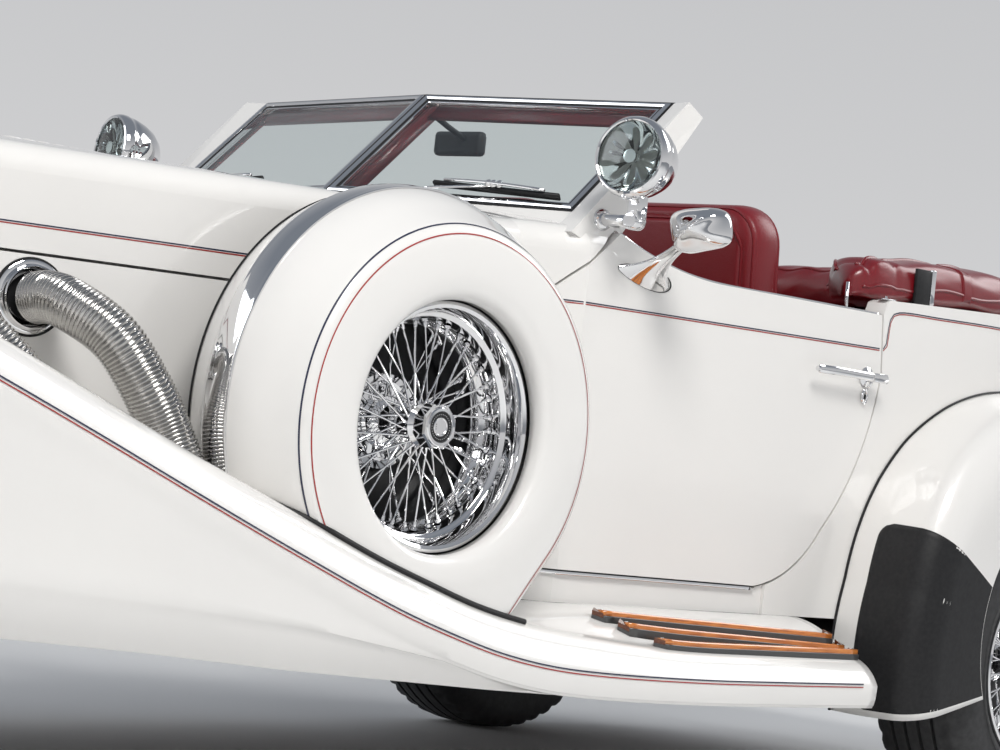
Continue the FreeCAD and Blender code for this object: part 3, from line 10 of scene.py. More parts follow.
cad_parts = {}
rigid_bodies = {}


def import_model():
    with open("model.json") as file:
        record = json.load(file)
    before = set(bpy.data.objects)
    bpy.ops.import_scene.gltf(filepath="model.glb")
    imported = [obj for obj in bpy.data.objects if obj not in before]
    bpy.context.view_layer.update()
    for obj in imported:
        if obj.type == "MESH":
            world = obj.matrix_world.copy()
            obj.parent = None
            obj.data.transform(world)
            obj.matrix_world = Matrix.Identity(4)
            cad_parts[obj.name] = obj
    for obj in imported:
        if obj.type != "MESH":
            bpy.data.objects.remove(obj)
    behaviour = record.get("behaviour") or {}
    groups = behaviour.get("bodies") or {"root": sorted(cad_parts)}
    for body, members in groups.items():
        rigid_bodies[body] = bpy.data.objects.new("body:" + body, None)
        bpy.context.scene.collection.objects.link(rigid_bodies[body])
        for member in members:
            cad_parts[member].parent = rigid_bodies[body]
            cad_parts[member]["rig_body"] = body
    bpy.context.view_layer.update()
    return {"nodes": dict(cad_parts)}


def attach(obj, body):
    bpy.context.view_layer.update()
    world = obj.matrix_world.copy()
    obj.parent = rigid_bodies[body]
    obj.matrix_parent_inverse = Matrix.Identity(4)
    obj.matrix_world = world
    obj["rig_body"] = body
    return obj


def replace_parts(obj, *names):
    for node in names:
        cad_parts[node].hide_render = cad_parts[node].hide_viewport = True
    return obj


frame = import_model()
print("frame loaded", len(frame["nodes"]), "nodes")

# All lengths are in metres: +X forward, +Y to the car's left, +Z up.

# Camera: where it stands, which way it looks and its roll, in degrees.
camera = {"place": (3.99466, 4.37195, 0.69896), "heading": 46.0498, "tilt": 1.2682,
          "roll": 6.2013, "lens": 108.16, "sensor": 36, "near": 0.05, "far": 200}


def addCamera(values):
    heading, tilt, roll = (math.radians(values[k]) for k in ("heading", "tilt", "roll"))
    view = Vector((-math.sin(heading) * math.cos(tilt), -math.cos(heading) * math.cos(tilt),
        math.sin(tilt)))
    right = Vector((-math.cos(heading), math.sin(heading), 0))
    up = right.cross(view)
    axisX = right * math.cos(roll) + up * math.sin(roll)
    axisY = up * math.cos(roll) - right * math.sin(roll)
    data = bpy.data.cameras.new("camera")
    data.lens, data.sensor_width = values["lens"], values["sensor"]
    data.clip_start, data.clip_end = values["near"], values["far"]
    made = bpy.data.objects.new("camera", data)
    bpy.context.scene.collection.objects.link(made)
    turn = Matrix((axisX, axisY, -view)).transposed()
    made.matrix_world = Matrix.Translation(values["place"]) @ turn.to_4x4()
    bpy.context.scene.camera = made


addCamera(camera)
bpy.context.scene.view_settings.view_transform = "Standard"

# Finishes. "vary" holds a texture, its scale and stretch, the colours at its stops, and where
# they are wanted a bump's strength and distance and the texture's detail.
finishes = {
    "whitePaint": {"colour": (0.79, 0.775, 0.75), "roughness": 0.32, "coat": 1.0,
        "coatRoughness": 0.035, "vary": ("Noise", 3.0, (1, 1, 1),
        [(0.3, (0.78, 0.765, 0.742)), (0.7, (0.8, 0.785, 0.76))])},
    "stripeBlue": {"colour": (0.012, 0.016, 0.05), "roughness": 0.3, "coat": 0.6},
    "stripeRed": {"colour": (0.34, 0.018, 0.014), "roughness": 0.3, "coat": 0.6},
    "chrome": {"colour": (0.8, 0.8, 0.81), "metallic": 1.0, "roughness": 0.045,
        "vary": ("Noise", 9.0, (1, 1, 1), [(0.3, (0.78, 0.78, 0.79)), (0.7, (0.82, 0.82, 0.825))])},
    "stainless": {"colour": (0.5, 0.49, 0.475), "metallic": 1.0, "roughness": 0.17,
        "vary": ("Noise", 60.0, (1, 1, 12), [(0.3, (0.42, 0.41, 0.4)), (0.7, (0.56, 0.55, 0.53))])},
    "tyreRubber": {"colour": (0.022, 0.022, 0.023), "roughness": 0.62,
        "vary": ("Noise", 80.0, (1, 1, 1), [(0.3, (0.017, 0.017, 0.018)),
        (0.7, (0.03, 0.03, 0.031))], 0.25, 0.0006)},
    "blackRubber": {"colour": (0.012, 0.012, 0.013), "roughness": 0.5, "specular": 0.3,
        "vary": ("Noise", 120.0, (1, 1, 1), [(0.3, (0.01, 0.01, 0.011)),
        (0.7, (0.016, 0.016, 0.017))], 0.2, 0.0004)},
    "chassisBlack": {"colour": (0.02, 0.02, 0.021), "roughness": 0.5,
        "vary": ("Noise", 30.0, (1, 1, 1), [(0.3, (0.016, 0.016, 0.017)),
        (0.7, (0.028, 0.028, 0.029))], 0.15, 0.0006)},
    "engineIron": {"colour": (0.09, 0.09, 0.088), "metallic": 0.4, "roughness": 0.6,
        "vary": ("Noise", 60.0, (1, 1, 1), [(0.3, (0.06, 0.06, 0.058)), (0.7, (0.12, 0.12, 0.118))],
        0.3, 0.001)},
    "leatherRed": {"colour": (0.15, 0.004, 0.009), "roughness": 0.36, "coat": 0.15,
        "coatRoughness": 0.3, "vary": ("Voronoi", 260.0, (1, 1, 1),
        [(0.0, (0.125, 0.0035, 0.007)), (0.6, (0.17, 0.005, 0.01))], 0.28, 0.0006)},
    "vinylRed": {"colour": (0.16, 0.005, 0.01), "roughness": 0.3, "coat": 0.35,
        "coatRoughness": 0.25, "vary": ("Noise", 340.0, (1, 1, 1),
        [(0.3, (0.14, 0.004, 0.008)), (0.7, (0.185, 0.006, 0.011))], 0.2, 0.0004)},
    "carpet": {"colour": (0.075, 0.006, 0.009), "roughness": 0.95,
        "vary": ("Noise", 500.0, (1, 1, 1), [(0.3, (0.05, 0.004, 0.006)),
        (0.7, (0.1, 0.009, 0.012))], 0.8, 0.002)},
    "wood": {"colour": (0.62, 0.19, 0.03), "roughness": 0.28, "coat": 0.9, "coatRoughness": 0.06,
        "vary": ("Noise", 14.0, (1.2, 22, 22), [(0.25, (0.3, 0.075, 0.012)),
        (0.5, (0.58, 0.18, 0.028)), (0.75, (0.74, 0.27, 0.05))], 0.08, 0.0004, 5.0)},
    # A darker copy of the wood: painted shade for the treads' ends, which lie in the wings' shadow.
    "woodDark": {"colour": (0.1, 0.028, 0.008), "roughness": 0.3, "coat": 0.8,
        "coatRoughness": 0.08, "vary": ("Noise", 14.0, (1.2, 22, 22),
        [(0.25, (0.06, 0.015, 0.005)), (0.75, (0.16, 0.045, 0.012))], 0.08, 0.0004, 5.0)},
    "darkStrip": {"colour": (0.1, 0.1, 0.1), "metallic": 0.6, "roughness": 0.35},
    "glass": {"colour": (0.86, 0.93, 0.92), "roughness": 0.01, "transmission": 1.0, "ior": 1.45},
    "lensRed": {"colour": (0.42, 0.006, 0.006), "roughness": 0.12, "coat": 1.0},
    "lensAmber": {"colour": (0.75, 0.22, 0.01), "roughness": 0.12, "coat": 1.0},
    "whiteFace": {"colour": (0.75, 0.74, 0.7), "roughness": 0.4}}
plainFinishes = {"names": ("darkStrip", "whitePaint", "stripeBlue", "stripeRed", "chrome", "glass",
    "lensRed", "lensAmber", "whiteFace"), "scale": 24.0, "spread": (0.8, 1.2)}
sockets = {"metallic": "Metallic", "roughness": "Roughness", "coat": "Coat Weight",
    "coatRoughness": "Coat Roughness", "specular": "Specular IOR Level",
    "transmission": "Transmission Weight", "ior": "IOR"}
looks = {}


def newMaterial(name, colour, **values):
    mat = bpy.data.materials.new(name)
    mat.use_nodes = True
    shader = mat.node_tree.nodes["Principled BSDF"]
    shader.inputs["Base Color"].default_value = (*colour, 1)
    for key, value in values.items():
        shader.inputs[sockets[key]].default_value = value
    looks[name] = mat
    return mat, mat.node_tree.nodes, mat.node_tree.links, shader


def addTexture(nodes, links, kind, scale, stretch=(1, 1, 1), detail=3.0):
    place = nodes.new("ShaderNodeTexCoord")
    mapping = nodes.new("ShaderNodeMapping")
    mapping.inputs["Scale"].default_value = stretch
    links.new(place.outputs["Object"], mapping.inputs["Vector"])
    texture = nodes.new("ShaderNodeTex" + kind)
    texture.inputs["Scale"].default_value = scale
    if "Detail" in texture.inputs:
        texture.inputs["Detail"].default_value = detail
    links.new(mapping.outputs["Vector"], texture.inputs["Vector"])
    return texture


def addRamp(nodes, links, value, stops):
    ramp = nodes.new("ShaderNodeValToRGB")
    elements = ramp.color_ramp.elements
    for element, (position, colour) in zip(elements, (stops[0], stops[-1])):
        element.position, element.color = position, (*colour, 1)
    for position, colour in stops[1:-1]:
        elements.new(position).color = (*colour, 1)
    links.new(value, ramp.inputs["Fac"])
    return ramp


def varyColour(nodes, links, shader, kind, scale, stretch, stops, bumpStrength=0.0,
        bumpDistance=0.001, detail=3.0):
    texture = addTexture(nodes, links, kind, scale, stretch, detail)
    value = texture.outputs["Fac"] if "Fac" in texture.outputs else texture.outputs["Distance"]
    ramp = addRamp(nodes, links, value, stops)
    links.new(ramp.outputs["Color"], shader.inputs["Base Color"])
    if bumpStrength:
        bump = nodes.new("ShaderNodeBump")
        bump.inputs["Strength"].default_value = bumpStrength
        bump.inputs["Distance"].default_value = bumpDistance
        links.new(value, bump.inputs["Height"])
        links.new(bump.outputs["Normal"], shader.inputs["Normal"])


def varyRoughness(nodes, links, shader):
    # A trace of variation in roughness keeps large plain surfaces from looking flat.
    texture = addTexture(nodes, links, "Noise", plainFinishes["scale"])
    spread = nodes.new("ShaderNodeMapRange")
    base = shader.inputs["Roughness"].default_value
    for socket, share in zip(("To Min", "To Max"), plainFinishes["spread"]):
        spread.inputs[socket].default_value = base * share
    links.new(texture.outputs["Fac"], spread.inputs["Value"])
    links.new(spread.outputs["Result"], shader.inputs["Roughness"])


for finishName, finish in finishes.items():
    made = newMaterial(finishName, finish["colour"], **{k: v for k, v in finish.items()
        if k in sockets})
    if "vary" in finish:
        varyColour(*made[1:], *finish["vary"])
    if finishName in plainFinishes["names"]:
        varyRoughness(*made[1:])
print("materials made", len(looks))

# Building blocks


@contextmanager
def editing(mesh):
    work = bmesh.new()
    work.from_mesh(mesh)
    yield work
    work.to_mesh(mesh)
    work.free()


def setSharp(mesh, degrees=40.0):
    mesh.shade_smooth()
    mesh.set_sharp_from_angle(angle=math.radians(degrees))


def addPiece(name, mesh, body="root"):
    made = bpy.data.objects.new(name, mesh)
    bpy.context.scene.collection.objects.link(made)
    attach(made, body)
    return made


def makeObject(name, verts, faces, look, body="root", smooth=40.0):
    mesh = bpy.data.meshes.new(name)
    mesh.from_pydata([tuple(v) for v in verts], [], [tuple(f) for f in faces])
    mesh.validate()
    mesh.materials.append(looks[look])
    with editing(mesh) as work:
        bmesh.ops.remove_doubles(work, verts=work.verts, dist=0.00002)
        bmesh.ops.recalc_face_normals(work, faces=work.faces)
    if smooth:
        setSharp(mesh, smooth)
    return addPiece(name, mesh, body)


def dropPiece(piece):
    old = piece.data
    bpy.data.objects.remove(piece)
    bpy.data.meshes.remove(old)


def mirrored(*sources):
    # The same pieces on the car's right side.
    for source in sources:
        mesh = source.data.copy()
        with editing(mesh) as work:
            for vert in work.verts:
                vert.co.y = -vert.co.y
            bmesh.ops.reverse_faces(work, faces=work.faces)
        addPiece(source.name.replace("Left", "Right"), mesh,
            source["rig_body"].replace("left", "right"))


def gridFaces(rows, columns, closeRows=False, closeColumns=False):
    faces = []
    for i in range(rows if closeRows else rows - 1):
        for j in range(columns if closeColumns else columns - 1):
            here, beyond = i * columns, ((i + 1) % rows) * columns
            ahead = (j + 1) % columns
            faces.append((here + j, here + ahead, beyond + ahead, beyond + j))
    return faces


def gridObject(name, rows, look, body="root", closeRows=False, closeColumns=False, smooth=40.0):
    rows = [list(row) for row in rows]
    verts = [point for row in rows for point in row]
    return makeObject(name, verts, gridFaces(len(rows), len(rows[0]), closeRows, closeColumns),
        look, body, smooth)


def cappedGrid(name, rows, look, body="root", smooth=35.0):
    # A closed body: rows of rings with both ends filled.
    return capEnds(gridObject(name, rows, look, body, closeColumns=True, smooth=smooth))


def turnsOf(count):
    return [2 * math.pi * k / count for k in range(count)]


def ringOf(centre, side, other, radius, count):
    return [centre + (side * math.cos(turn) + other * math.sin(turn)) * radius
        for turn in turnsOf(count)]


def lathe(name, profile, centre, axis, look, body="root", segments=64, smooth=40.0):
    # profile: pairs of radius and place along the axis.
    axis = Vector(axis).normalized()
    side = axis.orthogonal().normalized()
    other = axis.cross(side)
    rows = [ringOf(Vector(centre) + axis * along, side, other, radius, segments)
        for radius, along in profile]
    return gridObject(name, rows, look, body, False, True, smooth)


def sweepRows(points, profile, up=(0, 0, 1), closed=False, scales=None):
    # profile: pairs along the side and the upward direction of the path.
    points = [Vector(p) for p in points]
    rows = []
    count = len(points)
    for index, point in enumerate(points):
        before = points[(index - 1) % count] if closed or index else points[0]
        after = points[(index + 1) % count] if closed or index < count - 1 else points[-1]
        way = (after - before).normalized()
        side = way.cross(Vector(up))
        if side.length < 1e-6:
            side = way.orthogonal()
        side.normalize()
        rise = side.cross(way).normalized()
        scale = scales[index] if scales else 1.0
        rows.append([point + side * (a * scale) + rise * (b * scale) for a, b in profile])
    return rows


def ovalProfile(wide, high, count=12):
    return [(wide * math.cos(turn), high * math.sin(turn)) for turn in turnsOf(count)]


def sweep(name, points, profile, look, body="root", up=(0, 0, 1), closed=False, smooth=40.0,
        scales=None):
    rows = sweepRows(points, profile, up, closed, scales)
    made = gridObject(name, rows, look, body, closed, True, smooth)
    return made if closed else capEnds(made)


def tube(name, points, radius, look, body="root", up=(0, 0, 1), closed=False, count=12):
    return sweep(name, points, ovalProfile(radius, radius, count), look, body, up, closed)


def capEnds(made):
    with editing(made.data) as work:
        bmesh.ops.holes_fill(work, edges=[e for e in work.edges if e.is_boundary], sides=0)
        bmesh.ops.recalc_face_normals(work, faces=work.faces)
    return made


def boxPiece(name, lowCorner, highCorner, look, body="root", bevel=0.002, segments=2):
    mesh = bpy.data.meshes.new(name)
    low, high = Vector(lowCorner), Vector(highCorner)
    with editing(mesh) as work:
        bmesh.ops.create_cube(work, size=1)
        for vert in work.verts:
            vert.co = vert.co * (high - low) + (low + high) / 2
        if bevel:
            bmesh.ops.bevel(work, geom=list(work.edges), offset=bevel, segments=segments,
                affect="EDGES", profile=0.5)
    mesh.materials.append(looks[look])
    setSharp(mesh)
    return addPiece(name, mesh, body)


def join(name, parts):
    # Joins meshes that ride on one body, keeping their materials.
    body = parts[0]["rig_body"]
    mesh = bpy.data.meshes.new(name)
    materials = []
    with editing(mesh) as work:
        for part in parts:
            remap = []
            for mat in part.data.materials:
                if mat not in materials:
                    materials.append(mat)
                remap.append(materials.index(mat))
            start = len(work.faces)
            work.from_mesh(part.data)
            work.faces.ensure_lookup_table()
            for face in work.faces[start:]:
                face.material_index = remap[face.material_index]
            dropPiece(part)
    for mat in materials:
        mesh.materials.append(mat)
    return addPiece(name, mesh, body)


def ribbon(name, points, normals, width, look, body="root", lift=0.0006):
    rows = []
    count = len(points)
    for index in range(count):
        after, before = points[min(index + 1, count - 1)], points[max(index - 1, 0)]
        way = (Vector(after) - Vector(before)).normalized()
        normal = Vector(normals[index]).normalized()
        side = way.cross(normal).normalized()
        base = Vector(points[index]) + normal * lift
        rows.append([base - side * (width / 2), base + side * (width / 2)])
    return gridObject(name, rows, look, body)


def arcThrough(first, middle, last, count):
    # Points on the circle through three points of a plane.
    ax, ay = first
    bx, by = middle
    cx, cy = last
    d = 2 * (ax * (by - cy) + bx * (cy - ay) + cx * (ay - by))
    if abs(d) < 1e-12:
        return [(ax + (cx - ax) * i / (count - 1), ay + (cy - ay) * i / (count - 1))
            for i in range(count)]
    a2, b2, c2 = ax * ax + ay * ay, bx * bx + by * by, cx * cx + cy * cy
    ux = (a2 * (by - cy) + b2 * (cy - ay) + c2 * (ay - by)) / d
    uy = (a2 * (cx - bx) + b2 * (ax - cx) + c2 * (bx - ax)) / d
    radius = math.hypot(ax - ux, ay - uy)
    start, via, end = (math.atan2(p[1] - uy, p[0] - ux) for p in (first, middle, last))
    turn = (end - start) % (2 * math.pi)
    if (via - start) % (2 * math.pi) > turn:
        turn -= 2 * math.pi
    return [(ux + radius * math.cos(start + turn * i / (count - 1)),
             uy + radius * math.sin(start + turn * i / (count - 1))) for i in range(count)]


def lengthsAlong(line):
    return np.concatenate([[0], np.cumsum(np.linalg.norm(np.diff(line, axis=0), axis=1))])


def spaceEvenly(points, count, closed=False):
    # The same line with its points evenly spaced by length.
    line = np.array(points, float)
    run = lengthsAlong(line)
    marks = np.linspace(0, run[-1], count + 1)[:-1] if closed else np.linspace(0, run[-1], count)
    return list(zip(*(np.interp(marks, run, column) for column in line.T)))


def smoothLine(points, count, closed=False):
    # A Catmull-Rom line through the points, evenly spaced by length.
    pts = np.array([tuple(p) for p in points], float)
    if closed:
        pts = np.vstack([pts[-1], pts, pts[0], pts[1]])
    else:
        pts = np.vstack([2 * pts[0] - pts[1], pts, 2 * pts[-1] - pts[-2]])
    fine = []
    for i in range(1, len(pts) - 2):
        p0, p1, p2, p3 = pts[i - 1:i + 3]
        d1, d2, d3 = (max(np.linalg.norm(b - a), 1e-9) ** 0.5
            for a, b in ((p0, p1), (p1, p2), (p2, p3)))
        t0, t1, t2, t3 = 0, d1, d1 + d2, d1 + d2 + d3
        for t in np.linspace(t1, t2, 24, endpoint=False):
            a1 = (t1 - t) / (t1 - t0) * p0 + (t - t0) / (t1 - t0) * p1
            a2 = (t2 - t) / (t2 - t1) * p1 + (t - t1) / (t2 - t1) * p2
            a3 = (t3 - t) / (t3 - t2) * p2 + (t - t2) / (t3 - t2) * p3
            b1 = (t2 - t) / (t2 - t0) * a1 + (t - t0) / (t2 - t0) * a2
            b2 = (t3 - t) / (t3 - t1) * a2 + (t - t1) / (t3 - t1) * a3
            fine.append((t2 - t) / (t2 - t1) * b1 + (t - t1) / (t2 - t1) * b2)
    return spaceEvenly(fine + [pts[-2]], count, closed)


# Stage and light

stage = {"floor": (0.8, 0.8, 0.795), "patches": 0.98, "horizon": (0.9, 0.9, 0.91),
    "zenith": (0.3, 0.33, 0.38), "world": 0.72, "reach": 60}
lamps = {"keyLight": {"place": (2.2, 4.2, 5.6), "target": (0.2, 0.3, 0.6), "size": (2.2, 2.2),
    "power": 330, "colour": (1, 0.985, 0.96)}, "fillLight": {"place": (5.0, -3.5, 3.6),
    "target": (0.6, 0, 0.7), "size": (3.5, 3.0), "power": 90, "colour": (0.93, 0.96, 1)},
    "rearLight": {"place": (-5.0, 2.0, 4.2), "target": (-0.8, 0, 0.8), "size": (3.0, 3.0),
    "power": 110, "colour": (1, 1, 1)}}


def addStage(values):
    mat, nodes, links, shader = newMaterial("floorPale", values["floor"], roughness=0.85,
        specular=0.2)
    texture = addTexture(nodes, links, "Noise", 1.5)
    patches = tuple(c * values["patches"] for c in values["floor"])
    ramp = addRamp(nodes, links, texture.outputs["Fac"], [(0.2, patches), (0.8, values["floor"])])
    links.new(ramp.outputs["Color"], shader.inputs["Base Color"])
    mesh = bpy.data.meshes.new("floor")
    corners = [(a * values["reach"], b * values["reach"], 0)
        for a, b in ((-1, -1), (1, -1), (1, 1), (-1, 1))]
    mesh.from_pydata(corners, [], [(0, 1, 2, 3)])
    mesh.materials.append(mat)
    floor = bpy.data.objects.new("floor", mesh)
    bpy.context.scene.collection.objects.link(floor)
    world = bpy.data.worlds.new("world")
    bpy.context.scene.world = world
    world.use_nodes = True
    nodes, links = world.node_tree.nodes, world.node_tree.links
    place = nodes.new("ShaderNodeTexCoord")
    split = nodes.new("ShaderNodeSeparateXYZ")
    links.new(place.outputs["Generated"], split.inputs["Vector"])
    ramp = addRamp(nodes, links, split.outputs["Z"], [(0.02, values["horizon"]),
        (0.75, values["zenith"])])
    links.new(ramp.outputs["Color"], nodes["Background"].inputs["Color"])
    nodes["Background"].inputs["Strength"].default_value = values["world"]


def addLamp(name, values):
    data = bpy.data.lights.new(name, "AREA")
    data.shape = "RECTANGLE"
    data.size, data.size_y = values["size"]
    data.energy, data.color = values["power"], values["colour"]
    made = bpy.data.objects.new(name, data)
    made.location = values["place"]
    way = Vector(values["target"]) - Vector(values["place"])
    made.rotation_euler = way.to_track_quat("-Z", "Y").to_euler()
    bpy.context.scene.collection.objects.link(made)


addStage(stage)
for lampName, lampValues in lamps.items():
    addLamp(lampName, lampValues)
print("stage and light set")

# Finishes of the CAD nodes that stay in view
places = ("front_left", "front_right", "rear_left", "rear_right")
nodeFinishes = {
    "whitePaint": "cowl body_rear sills bonnet_sides bonnet_left bonnet_right front_wings "
                  "rear_wings spare_covers door_left door_right boot_lid",
    "chrome": "radiator_shell windscreen_frame spot_lamps headlamps lamp_bar front_bumper "
              "rear_bumper bonnet_spine door_left_fittings door_right_fittings grille_core "
              "spare_wheels " + " ".join("wheel_" + p for p in places),
    "stainless": "spare_bands exhaust_hoses", "carpet": "floor_pan", "engineIron": "engine_block",
    "chassisBlack": "frame_rails frame_members front_axle rear_axle knuckle_left knuckle_right",
    "tyreRubber": "spare_tyres " + " ".join("tyre_" + p for p in places),
    "glass": "windscreen_glass", "wood": "step_strips dashboard", "blackRubber": "steering_wheel",
    "leatherRed": "seat_cushions seat_backs", "vinylRed": "soft_top_stack", "lensRed": "tail_lamps"}
nodeLooks = {nodeName: looks[look] for look, names in nodeFinishes.items()
             for nodeName in names.split()}
for nodeName, node in frame["nodes"].items():
    node.data.materials.clear()
    node.data.materials.append(nodeLooks[nodeName])
    node.data.polygons.foreach_set("material_index", [0] * len(node.data.polygons))
    setSharp(node.data, 28)

# Body side in plan, shared by many pieces

bodyPlanPoints = [(1.745, 0.2416), (0.26, 0.5903), (0.06, 0.598)]
bodyPlanPoints += arcThrough((0.06, 0.598), (0.0, 0.625), (-0.06, 0.66), 9)[1:]
bodyPlanPoints += arcThrough((-0.925, 0.694), (-1.65, 0.69), (-2.38, 0.56), 30)
gap = 0.0008      # between a dressed piece and the body beside it


def bodyPlan(x):
    return float(np.interp(-x, [-p[0] for p in bodyPlanPoints], [p[1] for p in bodyPlanPoints]))


def bodySide(x, z, out=0.0):
    # A point on the left body side and the direction it faces.
    slope = (bodyPlan(x + 0.005) - bodyPlan(x - 0.005)) / 0.01
    normal = Vector((-slope, 1, 0)).normalized()
    return Vector((x, bodyPlan(x), z)) + normal * out, normal


def onSide(x, z, out=0.0):
    return bodySide(x, z, out)[0]


def blend(first, last, share):
    return first + (last - first) * share


# Front wings. Columns: x, height of the stripe line, rise of the crown above it,
# y of the inner edge, height of the inner edge above the stripe line.
frontWing = {"stations": [(2.24, 0.452, 0.055, 0.6, 0.045), (2.195, 0.575, 0.072, 0.585, 0.055),
    (2.11, 0.712, 0.084, 0.575, 0.06), (1.96, 0.806, 0.088, 0.57, 0.05),
    (1.8, 0.826, 0.088, 0.56, 0.03), (1.62, 0.783, 0.088, 0.5, 0.02),
    (1.414, 0.712, 0.088, 0.3, 0.01), (1.223, 0.643, 0.088, 0.35, 0.018),
    (1.019, 0.567, 0.088, 0.4, 0.03), (0.802, 0.488, 0.092, 0.44, 0.045),
    (0.57, 0.408, 0.09, 0.5, 0.06), (0.45, 0.374, 0.088, 0.525, 0.07),
    (0.325, 0.344, 0.083, 0.55, 0.08), (0.198, 0.3245, 0.078, 0.58, 0.09),
    (0.068, 0.315, 0.072, 0.597, 0.1), (-0.205, 0.3075, 0.06, 0.63, 0.111),
    (-0.45, 0.307, 0.059, 0.64, 0.111), (-0.74, 0.308, 0.059, 0.65, 0.11)],
    # x, height where the flank turns in, height of its lower edge
    "flank": [(1.378, 0.418, 0.341), (1.079, 0.398, 0.325), (0.77, 0.374, 0.304),
    (0.57, 0.347, 0.294), (0.316, 0.31, 0.281), (0.055, 0.276, 0.271), (-0.2, 0.268, 0.264),
    (-0.74, 0.268, 0.264)], "side": 0.905, "crown": 0.8, "metal": 0.006, "crease": 0.038,
    "axleX": 1.791, "axleZ": 0.352, "arch": 0.398, "noseX": 1.74, "rows": 150, "stripeEnd": -0.7,
    # name, look, shift up or down from the stripe line, width
    "stripes": [("wingStripeDark", "stripeBlue", 0.0035, 0.0026),
    ("wingStripeRed", "stripeRed", -0.0022, 0.0022)]}

wingLine = smoothLine(frontWing["stations"], frontWing["rows"])
wingTable = np.array(sorted(wingLine))


def wingStation(x):
    return [float(np.interp(x, wingTable[:, 0], wingTable[:, k])) for k in range(1, 5)]


def wingUpper(x, count=60):
    # Section from the inner edge over the crown to the stripe line, as y and z.
    stripeZ, rise, innerY, innerRise = wingStation(x)
    side, crown = frontWing["side"], frontWing["crown"]
    crownZ, innerZ = stripeZ + rise, stripeZ + innerRise
    swell = 0.25 * abs(crownZ - innerZ) + 0.006
    shoulder = (crown + 0.02, crownZ - 0.008)
    inner = arcThrough((innerY, innerZ), ((innerY + crown) / 2, (innerZ + crownZ) / 2 + swell),
        shoulder, count // 2)
    outer = arcThrough(shoulder, (side - 0.024, stripeZ + rise * 0.52), (side, stripeZ), count // 2)
    return inner + outer[1:]


def wingTop(x, y):
    line = wingUpper(x)
    return float(np.interp(y, [p[0] for p in line], [p[1] for p in line]))


def archLow(x):
    # Height of the flank's edge round the front wheel.
    axleX, axleZ, reach, noseX = (frontWing[k] for k in ("axleX", "axleZ", "arch", "noseX"))
    bend = noseX - 0.14
    if x > bend:
        foot = axleZ + math.sqrt(reach ** 2 - (bend - axleX) ** 2)
        return foot + (wingStation(noseX)[0] - 0.046 - foot) * (x - bend) / (noseX - bend)
    return axleZ + math.sqrt(max(0.0, reach ** 2 - (x - axleX) ** 2))


def wingLower(x, stripeZ):
    # Section from the stripe line down the flank to its edge, as y and z.
    side, noseX = frontWing["side"], frontWing["noseX"]
    flankX, turnZ, lowZ = (np.array(c) for c in zip(*sorted(frontWing["flank"])))
    crease = stripeZ - frontWing["crease"]
    lower = [(side - 0.0004, stripeZ - 0.012), (side - 0.0015, stripeZ - 0.026)]
    if x > noseX:
        return lower + [(side - 0.0045 - 0.0004 * k, crease - 0.0006 * k) for k in range(10)]
    turn, lowEdge = (float(np.interp(x, flankX, column)) for column in (turnZ, lowZ))
    turn = min(turn, crease - 0.006)
    if frontWing["axleX"] - frontWing["arch"] < x:
        turn, lowEdge = max(turn, archLow(x) + 0.002), max(lowEdge, archLow(x))
        turn = min(turn, crease - 0.002)
    lower += [(side - 0.0045, crease)]
    lower += [(side - 0.0055 - 0.0025 * k / 5, crease + (turn - crease) * k / 5)
        for k in range(1, 5)]
    return lower + [(side - 0.0085, turn + 0.25 * (crease - turn) * 0.2), (side - 0.011, turn),
                    (side - 0.016, turn + (lowEdge - turn) * 0.2), (side - 0.03, lowEdge + 0.004),
                    (side - 0.034, lowEdge)]


def makeFrontWing():
    side, metal, reach = frontWing["side"], frontWing["metal"], frontWing["arch"]
    axleX, noseX = frontWing["axleX"], frontWing["noseX"]
    xs = {round(s[0], 5) for s in wingLine}
    xs |= {round(axleX - reach * math.cos(math.radians(d)), 5) for d in range(0, 83, 2)}
    xs |= {axleX - reach - 0.0005, noseX, noseX + 0.0005}
    rows, stripeLine = [], []
    for x in sorted(xs, reverse=True):
        upper = wingUpper(x)
        plan = bodyPlan(x) + gap
        if x < noseX and upper[0][0] < plan:
            ys, zs = [p[0] for p in upper], [p[1] for p in upper]
            spread = np.linspace(plan, ys[len(ys) // 2], 30)
            upper = ([(float(y), float(np.interp(y, ys, zs))) for y in spread]
                + upper[len(ys) // 2 + 1:])
        stripeZ = upper[-1][1]
        path = np.array(upper[::2] + upper[-1:] * (len(upper) % 2 == 0) + wingLower(x, stripeZ))
        step = np.gradient(path, axis=0)
        normal = np.stack([-step[:, 1], step[:, 0]], axis=1)
        normal /= np.linalg.norm(normal, axis=1)[:, None] + 1e-9
        inner = path + normal * (metal if normal[len(path) // 3][1] < 0 else -metal)
        if x < noseX:
            inner[:, 0] = np.maximum(inner[:, 0], plan)
        rows.append([(x, y, z) for y, z in path] + [(x, y, z) for y, z in inner[::-1]])
        if x > frontWing["stripeEnd"]:
            stripeLine.append((x, stripeZ))
    parts = [cappedGrid("wingLeft", rows, "whitePaint")]
    for name, look, shift, width in frontWing["stripes"]:
        points = [(x, side + 0.0002, z + shift) for x, z in stripeLine]
        parts.append(ribbon(name + "Left", points, [(0, 1, 0.1)] * len(points), width, look))
    mirrored(*parts)
    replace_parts(parts[0], "front_wings")


makeFrontWing()
print("front wings made")

